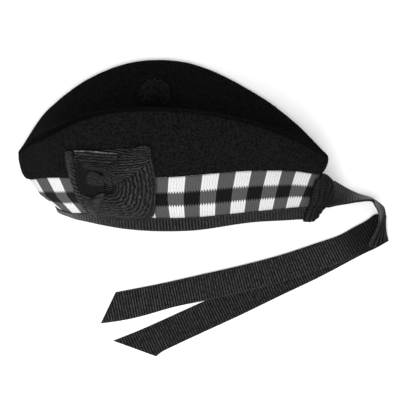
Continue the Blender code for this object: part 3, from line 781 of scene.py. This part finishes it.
# The folds, from above the band: girth, level and rise in millimetres of the near edge and of
# the far edge, and how far the ribbon swells between them
FOLD = "near_girth near_level near_rise far_girth far_level far_rise swell"
PLAITED_EDGE = named_rows(
    FOLD,
    (0.253, 4.21, 1.3, 0.234, 4.27, 1.3, 1.3),
    (0.253, 3.97, 1.3, 0.232, 4.04, 1.3, 1.3),
    (0.251, 3.64, 1.3, 0.230, 3.67, 1.3, 1.3),
    (0.253, 3.15, 1.3, 0.232, 3.11, 1.3, 1.3),
    (0.247, 2.55, 1.3, 0.226, 2.44, 1.3, 1.3),
    (0.245, 2.03, 1.3, 0.222, 1.95, 1.3, 1.3),
    (0.241, 1.53, 1.3, 0.215, 1.44, 1.3, 1.3),
    (0.241, 1.06, 1.3, 0.222, 0.90, 1.3, 1.0),
)
FRONT_LOOP = named_rows(
    FOLD,
    (0.358, 2.91, 1.6, 0.460, 3.58, 1.4, 3.0),
    (0.360, 2.87, 1.6, 0.467, 3.31, 1.4, 4.6),
    (0.360, 2.82, 1.6, 0.469, 2.93, 1.4, 5.6),
    (0.358, 2.72, 1.6, 0.462, 2.45, 1.4, 6.0),
    (0.354, 2.61, 1.6, 0.450, 1.97, 1.4, 6.0),
    (0.351, 2.51, 1.6, 0.430, 1.51, 1.4, 5.6),
    (0.347, 2.44, 1.6, 0.403, 1.14, 1.4, 4.8),
    (0.343, 2.39, 1.6, 0.373, 1.03, 1.4, 4.2),
    (0.339, 2.36, 1.6, 0.339, 1.01, 1.4, 3.8),
    (0.335, 2.34, 1.6, 0.307, 1.05, 1.4, 3.4),
    (0.330, 2.34, 1.6, 0.273, 1.05, 1.4, 2.6),
    (0.325, 2.36, 1.6, 0.248, 1.02, 1.3, 1.6),
)
REAR_LOOP = named_rows(
    FOLD,
    (0.322, 3.61, 3.0, 0.264, 3.83, 2.6, -1.2),
    (0.324, 3.35, 3.2, 0.258, 3.49, 2.6, -1.5),
    (0.328, 3.13, 3.4, 0.258, 3.11, 2.6, -1.6),
    (0.330, 2.92, 3.4, 0.254, 2.66, 2.6, -1.6),
    (0.326, 2.66, 3.2, 0.251, 2.24, 2.4, -1.4),
    (0.322, 2.44, 3.0, 0.256, 2.02, 2.2, -1.0),
)
TOP_PLEAT = named_rows(
    FOLD,
    (0.260, 4.01, 1.6, 0.262, 4.17, 1.6, 1.5),
    (0.302, 3.89, 1.6, 0.303, 4.04, 1.6, 1.6),
    (0.341, 3.79, 1.8, 0.343, 3.96, 1.6, 1.7),
    (0.381, 3.72, 2.0, 0.383, 3.89, 1.6, 1.6),
)
SECOND_PLEAT = named_rows(
    FOLD,
    (0.270, 3.78, 2.2, 0.268, 3.96, 2.0, 1.2),
    (0.305, 3.67, 2.4, 0.307, 3.84, 2.2, 1.8),
    (0.343, 3.59, 2.6, 0.345, 3.76, 2.4, 2.0),
    (0.377, 3.54, 2.8, 0.379, 3.72, 2.4, 1.8),
)
THIRD_PLEAT = named_rows(
    FOLD,
    (0.281, 3.47, 2.8, 0.277, 3.72, 2.6, 1.0),
    (0.305, 3.40, 3.0, 0.307, 3.62, 2.8, 1.8),
    (0.335, 3.31, 3.2, 0.339, 3.56, 3.0, 2.0),
    (0.351, 3.22, 3.2, 0.362, 3.51, 3.0, 1.6),
)
GATHERS = named_rows(
    FOLD,
    (0.343, 3.05, 3.4, 0.305, 3.40, 3.6, 0.8),
    (0.339, 2.95, 3.4, 0.292, 3.27, 3.8, 1.0),
    (0.335, 2.84, 3.2, 0.286, 3.06, 3.8, 1.0),
    (0.332, 2.71, 3.0, 0.283, 2.73, 3.4, 0.8),
)
FLAP = named_rows(
    FOLD,
    (0.347, 2.72, 3.6, 0.335, 2.93, 3.6, 1.0),
    (0.366, 2.83, 5.0, 0.334, 3.16, 3.4, 2.2),
    (0.390, 3.02, 6.2, 0.352, 3.42, 3.6, 2.6),
    (0.416, 3.21, 6.8, 0.377, 3.67, 3.4, 2.8),
    (0.445, 3.45, 6.4, 0.400, 3.88, 2.8, 2.8),
    (0.467, 3.69, 4.2, 0.426, 4.02, 2.2, 2.4),
    (0.471, 3.91, 2.4, 0.450, 4.10, 2.0, 1.0),
    (0.469, 4.04, 2.0, 0.462, 4.08, 2.0, 0.3),
)
TONGUE = named_rows(
    FOLD,
    (0.352, 2.99, 6.4, 0.339, 3.13, 5.2, 0.8),
    (0.371, 3.26, 7.0, 0.351, 3.38, 5.6, 1.6),
    (0.383, 3.48, 6.8, 0.364, 3.59, 5.2, 1.6),
    (0.386, 3.64, 5.4, 0.379, 3.70, 4.8, 0.6),
)
WEDGE = named_rows(
    FOLD,
    (0.322, 2.36, 3.2, 0.298, 2.27, 3.4, 0.6),
    (0.315, 2.18, 3.0, 0.268, 2.00, 3.4, 1.4),
    (0.309, 1.97, 2.6, 0.247, 1.78, 2.2, 2.6),
    (0.292, 1.64, 2.2, 0.232, 1.48, 1.9, 2.8),
    (0.270, 1.30, 1.8, 0.230, 1.20, 1.7, 1.8),
    (0.247, 1.01, 1.5, 0.236, 0.98, 1.5, 0.6),
)
# A thin strip along the top pleat's far edge that carries a painted glint
TOP_EDGE_GLINT = named_rows(
    FOLD,
    (0.261, 4.165, 2.9, 0.261, 4.195, 2.9, 0.2),
    (0.303, 4.040, 3.0, 0.303, 4.070, 3.0, 0.2),
    (0.343, 3.955, 3.1, 0.343, 3.985, 3.1, 0.2),
    (0.379, 3.895, 3.1, 0.379, 3.915, 3.1, 0.2),
)
SIDE_PLEAT = named_rows(
    FOLD,
    (0.273, 2.09, 2.4, 0.247, 2.22, 1.8, 1.2),
    (0.260, 1.91, 2.0, 0.243, 1.95, 1.7, 1.0),
    (0.239, 1.60, 1.7, 0.239, 1.66, 1.6, 0.4),
)

# Steps between two rows of a table, how fast the painted shade fades from the pinch, the row of
# steps where a painted crease shadow crosses the wedge and how wide it is, and the base's grid, ribs
# and shade
ROW_STEPS = 14
PINCH_FADE = 9
WEDGE_CREASE_SHADE = (13, 3.0)
BASE_GRID = (60, 70)
BASE_RIBS = (6, 30)
BASE_SHADE = 0.5


def smooth_rows(rows, steps=ROW_STEPS):
    """A smooth curve through the rows, with `steps` points between each pair."""
    padded = np.concatenate([2 * rows[:1] - rows[1:2], rows, 2 * rows[-1:] - rows[-2:-1]])
    before, here, there, after = padded[:-3], padded[1:-2], padded[2:-1], padded[3:]
    t = (np.arange(steps) / steps)[:, None, None]
    curve = 0.5 * (2 * here + (there - before) * t + (2 * before - 5 * here + 4 * there - after) * t ** 2
                   + (3 * here - before - 3 * there + after) * t ** 3)
    curve = curve.transpose(1, 0, 2).reshape(-1, rows.shape[1])
    return np.concatenate([curve, rows[-1:]])


def sheet(name, points, uv, cloth, shade):
    """A ribbon sheet of the given thickness over a grid of points, `shade` deep in its folds."""
    made = piece(name, points, grid_faces(*points.shape[:2]), GROSGRAIN, uv)
    mark(made, "fold_shade", np.broadcast_to(shade, points.shape[:2]))
    return thicken(made, cloth)


def fold(name, rows, ribs=(0, 0), shade=0.0, steps=ROW_STEPS, columns=60):
    """A fold of ribbon on the cap's side: rulings from the near edge to the far one, smooth from row
    to row, arched by a sine between the edges; ribs are counted along the rows and across them."""
    table = smooth_rows(np.array(rows), steps)[:, None]
    share = np.linspace(0, 1, columns)[None, :]
    along = np.linspace(0, 1, len(table))[:, None]
    place = table[..., :3] + (table[..., 3:6] - table[..., :3]) * share[..., None]
    rise = GAP + MILLIMETRE * (place[..., 2] + table[..., 6] * np.sin(math.pi * share) ** 0.6)
    smooth = on_side(place[..., 0] / 2, place[..., 1], rise)
    waves, length = COCKADE_WAVES
    uneven = waves * ripple(smooth, length, 0.9) * (sum(ribs) > 0)
    count = 0.5 + ribs[0] * along + ribs[1] * share + uneven
    rise = rise + COCKADE_RIB * np.abs(np.sin(math.pi * count))
    points = on_side(place[..., 0] / 2, place[..., 1], rise)
    uv = np.stack([count * RIB_PITCH, 2 * share - 1 + 0 * along], axis=-1)
    return sheet(name, points, uv, COCKADE_CLOTH, COCKADE_SHADE + shade)


def cockade_base():
    """The flat strip under the folds, between the rear and the front edges of the table."""
    at, rear, front = np.array(COCKADE_EDGES).T
    across, up = np.meshgrid(*[np.linspace(0, 1, steps) for steps in BASE_GRID], indexing="ij")
    level = at[0] + (at[-1] - at[0]) * up
    rear, front = np.interp(level, at, rear), np.interp(level, at, front)
    points = on_side((rear + (front - rear) * across) / 2, level, GAP + COCKADE_CLOTH / 2)
    count = 0.5 + BASE_RIBS[1] * up + BASE_RIBS[0] * across
    uv = np.stack([count * RIB_PITCH, 2 * across - 1], axis=-1)
    return sheet("ribbon_base", points, uv, COCKADE_CLOTH, BASE_SHADE)


ribbon_base = cockade_base()
fold("plaited_edge", PLAITED_EDGE, ribs=(19, 1.7), steps=24, columns=30)
rear_loop = fold("rear_loop", REAR_LOOP, ribs=(0, 18), shade=0.75)
fold("gathered_ribbon", GATHERS, ribs=(7, 0), shade=0.2, steps=26, columns=30)
fold("top_pleat", TOP_PLEAT, ribs=(0, 2), steps=20, columns=40)
fold("second_pleat", SECOND_PLEAT, ribs=(0, 2), shade=0.2, steps=20, columns=40)
fold("third_pleat", THIRD_PLEAT, ribs=(0, 4), shade=0.2, steps=20, columns=50)
# Painted shade in the front loop near the pinch, fading away from it
painted_pinch_shade = np.exp(-PINCH_FADE * np.linspace(0, 1, 150))
front_loop = fold("front_loop", FRONT_LOOP, ribs=(0, 10), shade=painted_pinch_shade, steps=10, columns=150)
fold("side_pleat", SIDE_PLEAT, ribs=(5, 0), steps=30, columns=30)
# The wedge's painted shade: darker towards both edges, with a painted shadow line across it where a crease
# would be
from_middle = np.linspace(1, -1, 60)[None, :]
crease_row, crease_width = WEDGE_CREASE_SHADE
from_crease = (np.arange((len(WEDGE) - 1) * ROW_STEPS + 1)[:, None] - crease_row) / crease_width
painted_crease_shade = np.exp(-from_crease ** 2) * np.cos(math.pi / 2 * from_middle)
fold("wedge_fold", WEDGE, shade=0.25 + 0.40 * from_middle ** 2 + 0.9 * painted_crease_shade)
fold("top_flap", FLAP, ribs=(17, 6), steps=20, columns=60)
# A painted glint along the top pleat's far edge
fold("top_edge_glint", TOP_EDGE_GLINT, shade=-2.9, steps=20, columns=4)
fold("small_tongue", TONGUE, ribs=(10, 0), shade=0.25, steps=20, columns=30)
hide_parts("cockade_base")
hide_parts("cockade_rear_loop")
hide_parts("cockade_front_loop")

# Toorie
# A round tuft of black wool, made of many loops of yarn gathered on a tight core and sewn to
# the top in the fold of the crown.
TOORIE_DIAMETER = 0.0275
TOORIE_SHIFT = np.array([-0.0020, -0.0020, 0])
TOORIE_CENTRE = np.mean([tuple(corner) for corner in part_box("toorie")], axis=0) + TOORIE_SHIFT
CORE_SHARE = 0.42
CORE_WAVES = (0.05, 0.004)
WOOL_COLOUR = (0.0042, 0.0042, 0.0042)
WOOL_TONES = (0.2, 2.2)
WOOL_CONTRAST = (0.35, 0.65)
WOOL_FINENESS = 2600.0

# The loops: yarn radius, points and sides of the tube, where a loop starts and ends in shares of
# the tuft's radius, half the step between its feet, and how far it leans
TOORIE_YARNS = 620
YARN = 0.00075
YARN_POINTS = 9
YARN_SIDES = 6
LOOP_FOOT = 0.62
LOOP_TOPS = (0.86, 1.0)
LOOP_SPREAD = (0.0013, 0.0026)
LOOP_LEAN = 0.0012


def wool():
    """Loose black yarn: matt, with a fine nap."""
    material, tree, shader = finish("black_wool", WOOL_COLOUR, 0.95, sheen=0.03, specular=0.04)
    shade, height = nap(tree, WOOL_FINENESS)
    dress(tree, shader, tones(tree, WOOL_COLOUR, WOOL_TONES, shade, WOOL_CONTRAST), height, 0.8, 0.0005)
    return material


def toorie():
    """Loops of yarn spread by the golden angle: each rises from the core, bends over and returns."""
    radius = TOORIE_DIAMETER / 2
    number = np.arange(TOORIE_YARNS)
    up = 1 - (2 * number + 1) / TOORIE_YARNS
    turn = number * math.pi * (3 - math.sqrt(5))
    level = np.sqrt(1 - up ** 2)
    out = np.stack([level * np.cos(turn), level * np.sin(turn), up], axis=1)
    chance = np.random.default_rng(7)
    side = unit(np.cross(out, chance.normal(size=out.shape)))
    height = radius * chance.uniform(*LOOP_TOPS, TOORIE_YARNS)
    apart = chance.uniform(*LOOP_SPREAD, TOORIE_YARNS)
    lean = chance.normal(0, LOOP_LEAN, out.shape)
    bend = np.linspace(0, math.pi, YARN_POINTS)
    foot = LOOP_FOOT * radius
    rise = (foot + (height - foot - YARN)[:, None] * np.sin(bend) ** 0.8)[..., None]
    stride = (apart[:, None] * np.cos(bend))[..., None]
    path = (TOORIE_CENTRE + out[:, None] * rise - side[:, None] * stride
            + lean[:, None] * np.sin(bend)[None, :, None])
    along = unit(np.gradient(path, axis=1))
    across = unit(np.cross(along, out[:, None] + 0.3 * side[:, None]))
    third = np.cross(along, across)
    ring_turn = (np.arange(YARN_SIDES) / YARN_SIDES * 2 * math.pi)[:, None]
    tube = (path[:, :, None] + YARN * (across[:, :, None] * np.cos(ring_turn)
                                       + third[:, :, None] * np.sin(ring_turn)))
    count = YARN_POINTS * YARN_SIDES
    sides = copies(grid_faces(YARN_POINTS, YARN_SIDES, closed_columns=True), TOORIE_YARNS, count)
    caps = [list(range(YARN_SIDES - 1, -1, -1)), list(range(count - YARN_SIDES, count))]
    ends = copies(caps, TOORIE_YARNS, count)
    return piece("woolly_toorie", tube, sides.tolist() + ends.tolist(), wool())


def toorie_core(material):
    """The wound core that the loops grow from."""
    body = bmesh.new()
    bmesh.ops.create_icosphere(body, subdivisions=4, radius=TOORIE_DIAMETER * CORE_SHARE)
    points = np.array([vertex.co[:] for vertex in body.verts])
    faces = [[vertex.index for vertex in face.verts] for face in body.faces]
    body.free()
    waves, length = CORE_WAVES
    points = points * (1 + waves * ripple(points, length, 1.1))[:, None] + TOORIE_CENTRE
    return piece("toorie_core", points, faces, material)


woolly_toorie = toorie()
core = toorie_core(woolly_toorie.data.materials[0])
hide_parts("toorie")

# Back knot
# The end of the ribbon wrapped over the back of the band, folded into pleats, pulled tight and
# sewn down, with its cut end just below the hem.
KNOT_CLOTH = 0.0012
KNOT_GRID = (200, 110)
KNOT_BULGE = 0.0100
BULGE_GIRTH = (1.005, 0.035)
PLEAT_SWING = 0.05
PLEAT_WAVER = 0.03
KNOT_BORDERS = named_rows(
    "share front back foot top",
    (0.00, 0.917, 1.000, -0.10, 2.66),
    (0.25, 0.926, 1.006, -0.14, 2.86),
    (0.45, 0.939, 1.014, -0.05, 2.98),
    (0.70, 0.944, 1.026, 0.65, 2.92),
    (1.00, 0.955, 1.034, 1.20, 2.70),
)
KNOT_PLEATS = named_rows(
    "start height",
    (0.00, 2.6),
    (0.22, 3.4),
    (0.35, 4.2),
    (0.46, 4.6),
    (0.58, 4.2),
    (0.69, 3.8),
    (0.80, 3.2),
    (0.90, 2.6),
)


def knot():
    """A closed pad over the back fold: half-round pleats side by side that swing by two slow waves
    and get flatter towards both ends, on a bulge around the fold."""
    share, height = np.meshgrid(*[np.linspace(0, 1, steps) for steps in KNOT_GRID], indexing="ij")
    at, front, back, foot, top = np.array(KNOT_BORDERS).T
    girth = np.interp(height, at, front) * (1 - share) + np.interp(height, at, back) * share
    level = np.interp(share, at, foot) * (1 - height) + np.interp(share, at, top) * height
    starts, heights = np.array(KNOT_PLEATS).T
    swing = (PLEAT_SWING * np.sin(2.2 * math.pi * height + 0.6)
             + PLEAT_WAVER * np.sin(5 * math.pi * height + 9 * share))
    swung = np.clip(share + swing * np.sin(math.pi * share), 0, 1)
    index = np.clip(np.searchsorted(starts, swung, side="right") - 1, 0, len(starts) - 1)
    width = np.append(starts[1:], 1)[index] - starts[index]
    within = np.clip((swung - starts[index]) / width, 0, 1)
    arch = np.sqrt(np.sin(math.pi * within).clip(0))
    ends = np.minimum(1, 4 * np.minimum(height, 1 - height) + 0.35)
    pleat = MILLIMETRE * heights[index] * arch * ends
    middle, reach = BULGE_GIRTH
    bulge = KNOT_BULGE * np.exp(-((girth - middle) / reach) ** 2) * np.sin(math.pi * height) ** 0.5
    under = -SEAM_STEP + 2 * GAP + BINDING_CLOTH
    outside = on_side(girth / 2, level, under + KNOT_CLOTH + pleat + bulge)
    inside = on_side(girth / 2, level, under + 0 * girth)
    count = 0.5 + 16 * height - 3 * within + 1.5 * index
    uv = np.stack([count * RIB_PITCH, 1.8 * within - 0.9], axis=-1)
    grid = np.arange(girth.size).reshape(girth.shape)
    rim = np.concatenate([grid[:, 0], grid[-1, 1:], grid[-2::-1, -1], grid[0, -2:0:-1]])
    after = np.roll(rim, -1)
    walls = np.stack([rim, after, after + girth.size, rim + girth.size], axis=1)
    faces = both_skins(*girth.shape) + walls.tolist()
    made = piece("ribbon_knot", np.stack([outside, inside]), faces, GROSGRAIN, np.stack([uv, uv]))
    # Painted shade in the creases between the pleats, and a little more over all pleats after the second
    shade = 1.35 - arch ** 0.7 + 0.25 * (index > 1)
    mark(made, "fold_shade", np.tile(shade.ravel(), 2).clip(0, 1))
    return made


ribbon_knot = knot()
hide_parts("back_knot")

# Tails
# Two ends of one inch grosgrain ribbon. They leave the knot, stand on edge, roll over together
# and lie along the surface in front of the cap, both cut on the slant.
RIBBON_WIDTH = 0.0254
RIBBON_CLOTH = 0.0008
TAIL_RIB = 0.0026
TAIL_COLUMNS = 21
STRAP_SHADE = 0.3
TURN_SHADE = 0.8
TURN_HEIGHTS = (0.003, 0.009)
TURN_SHADOW = (0.135, 0.175)
TURN_Y = -0.130
TURN_SLANT = 0.5
TAIL_REACH = 0.240
KNOT_EXIT = Ends(0.507, -0.263)
RULING = "x y z heading tilt span"
TAIL_LOWER = named_rows(
    RULING,
    (0.008, 0.008, 1.22, -106, 4, 1.0),
    (0.062, -0.007, 0.46, -114, 39, 1.0),
    (0.107, -0.021, 0.08, -93, 64, 1.0),
    (0.159, -0.037, 0.04, -86, 75, 1.0),
    (0.183, -0.053, 0.16, -112, 68, 0.96),
    (0.207, -0.078, 0.35, -119, 57, 0.91),
    (0.213, -0.092, 0.43, -113, 32, 0.96),
    (0.217, -0.112, 0.39, -117, -3, 1.38),
    (0.217, -0.122, 0.26, -88, -2, 0.93),
    (0.187, -0.110, 0.02, -69, 0, 1.08),
    (0.137, -0.147, 0.02, -66, 0, 1.0),
    (0.072, -0.178, 0.02, -66, 0, 1.0),
    (-0.092, -0.265, 0.02, -65, 0, 1.0),
    (-0.249, -0.339, 0.02, -66, 0, 1.01),
    (-0.414, -0.417, 0.02, -65, 0, 1.03),
    (-0.541, -0.472, 0.02, -65, 0, 1.06),
    (-0.670, -0.531, 0.02, -65, 0, 1.07),
    (-0.739, -0.562, 0.02, -58, 0, 1.10),
    (-0.795, -0.586, 0.02, -40, 0, 1.26),
    (-0.876, -0.618, 0.02, -20, 0, 1.68),
)
TAIL_UPPER = named_rows(
    RULING,
    (0.000, 0.002, 1.17, -106, 4, 1.0),
    (0.054, -0.013, 0.41, -114, 39, 1.0),
    (0.099, -0.027, 0.04, -93, 64, 1.0),
    (0.151, -0.043, 0.03, -86, 75, 1.0),
    (0.180, -0.055, 0.12, -106, 68, 0.93),
    (0.202, -0.081, 0.28, -111, 59, 0.89),
    (0.208, -0.095, 0.35, -107, 35, 0.90),
    (0.212, -0.115, 0.33, -115, -4, 1.25),
    (0.215, -0.125, 0.24, -85, -3, 0.89),
    (0.181, -0.106, 0.07, -68, 0, 1.02),
    (0.141, -0.133, 0.066, -63, 0, 1.0),
    (0.085, -0.163, 0.066, -61, 0, 1.0),
    (0.028, -0.194, 0.066, -63, 0, 1.0),
    (-0.061, -0.225, 0.066, -66, 0, 1.0),
    (-0.206, -0.273, 0.066, -70, 0, 1.0),
    (-0.367, -0.316, 0.066, -75, 0, 1.0),
    (-0.528, -0.353, 0.066, -80, 0, 1.0),
    (-0.689, -0.389, 0.05, -79, 0, 1.0),
    (-0.867, -0.423, 0.02, -115, 0, 1.31),
)


def tail(name, rulings, laid, cut_rows):
    """A ribbon between two edges, which every ruling holds one width apart; `laid` is the shade of the
    flat stretch, which gets darker in the shadow of the turn. Over the last `cut_rows` the rulings
    turn towards the slanted cut, and the ribs stay square to the edges."""
    table = np.array(rulings)
    start = np.array([KNOT_EXIT.front * CAP_LENGTH, KNOT_EXIT.back * CAP_SPREAD - REST_Y, 0])
    edge = start + np.stack([table[:, 0] * TAIL_REACH, table[:, 1] * TAIL_REACH,
                             table[:, 2] * RIBBON_WIDTH], axis=1)
    heading, tilt = np.radians(table[:, 3:5]).T
    out = np.cos(tilt)
    ruling = np.stack([out * np.cos(heading), out * np.sin(heading), np.sin(tilt)], axis=1)
    first, ruling, span = [smooth_rows(part) for part in (edge, ruling, table[:, 5:])]
    second = first + unit(ruling) * span * RIBBON_WIDTH
    share = np.linspace(0, 1, TAIL_COLUMNS)[None, :, None]
    middle = kept_above(RIBBON_CLOTH / 2, first[:, None] * (1 - share) + second[:, None] * share)
    run = np.cumsum(np.linalg.norm(np.diff(middle, axis=0, prepend=middle[:1]), axis=-1), axis=0)
    ribs = run.mean(axis=1, keepdims=True) + 0 * run
    cut = len(run) - 1 - ROW_STEPS * cut_rows
    ribs[cut:] = ribs[cut] + run[cut:] - run[cut]
    uv = np.stack([ribs * RIB_PITCH / TAIL_RIB, (2 * share[..., 0] - 1) + 0 * run], axis=-1)
    flat = 1 - smooth_step(*TURN_HEIGHTS, middle[..., 2])
    near_turn = smooth_step(*TURN_SHADOW, middle[..., 0] + TURN_SLANT * (middle[..., 1] - TURN_Y))
    shade = STRAP_SHADE * (1 - flat) + flat * (laid + (TURN_SHADE - laid) * near_turn)
    made = sheet(name, middle, uv, RIBBON_CLOTH, shade)
    sides = np.linalg.norm(np.diff(middle, axis=0), axis=-1).mean(axis=1)
    return made, float(sides.sum())


lower_tail, lower_length = tail("lower_tail", TAIL_LOWER, laid=0.1, cut_rows=3)
upper_tail, upper_length = tail("upper_tail", TAIL_UPPER, laid=-0.3, cut_rows=1)
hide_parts("tail_lower")
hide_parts("tail_upper")

# Floor, light and camera
# A plain white table under soft light from above and in front, seen from almost straight above.
FLOOR_SIZE = 6.0
CAMERA_DISTANCE = 2.0
CAMERA_ELEVATION = 80.0
PIXEL = 0.00097
TARGET_PIXELS = (26, -60)
TARGET = np.array([TARGET_PIXELS[0] * PIXEL, TARGET_PIXELS[1] * PIXEL - REST_Y, 0.0])
FRAME_PIXELS = 400
SENSOR = 36.0
TABLE_WHITE = (0.97, 0.97, 0.97)
LAMP_PLACE = (-0.35, -1.35, 1.75)
LAMP_POWER = 51.6
LAMP_SIZE = 2.0
WORLD_STRENGTH = 0.89


def floor():
    """The table's top, which fills the picture."""
    reach = FLOOR_SIZE / 2
    points = [(-reach, -reach, 0), (reach, -reach, 0), (reach, reach, 0), (-reach, reach, 0)]
    mesh = bpy.data.meshes.new("floor")
    mesh.from_pydata(points, [], [(0, 1, 2, 3)])
    mesh.materials.append(finish("white_table", TABLE_WHITE, 0.9)[0])
    add("floor", mesh)


def lamp(name, place, power, size):
    """A square soft light that looks at the cap."""
    light = bpy.data.lights.new(name, "AREA")
    light.energy = power
    light.size = size
    made = add(name, light)
    made.location = place
    away = unit(np.array(place) - TARGET)
    made.rotation_euler = (math.acos(away[2]), 0, math.atan2(away[1], away[0]) + math.pi / 2)


def camera():
    """A lens that gives one pixel its real size at the target."""
    lens = bpy.data.cameras.new("camera")
    lens.sensor_width = SENSOR
    lens.lens = SENSOR * CAMERA_DISTANCE / (FRAME_PIXELS * PIXEL)
    lens.clip_end = 20
    made = add("camera", lens)
    slope = math.radians(CAMERA_ELEVATION)
    made.location = TARGET + CAMERA_DISTANCE * np.array([0, -math.cos(slope), math.sin(slope)])
    made.rotation_euler = (math.pi / 2 - slope, 0, 0)
    bpy.context.scene.camera = made


floor()
lamp("front_light", LAMP_PLACE, LAMP_POWER, LAMP_SIZE)
bpy.context.scene.view_settings.view_transform = "Standard"
world = bpy.data.worlds.new("studio")
world.use_nodes = True
background = world.node_tree.nodes["Background"]
background.inputs["Color"].default_value = (1, 1, 1, 1)
background.inputs["Strength"].default_value = WORLD_STRENGTH
bpy.context.scene.world = world
camera()
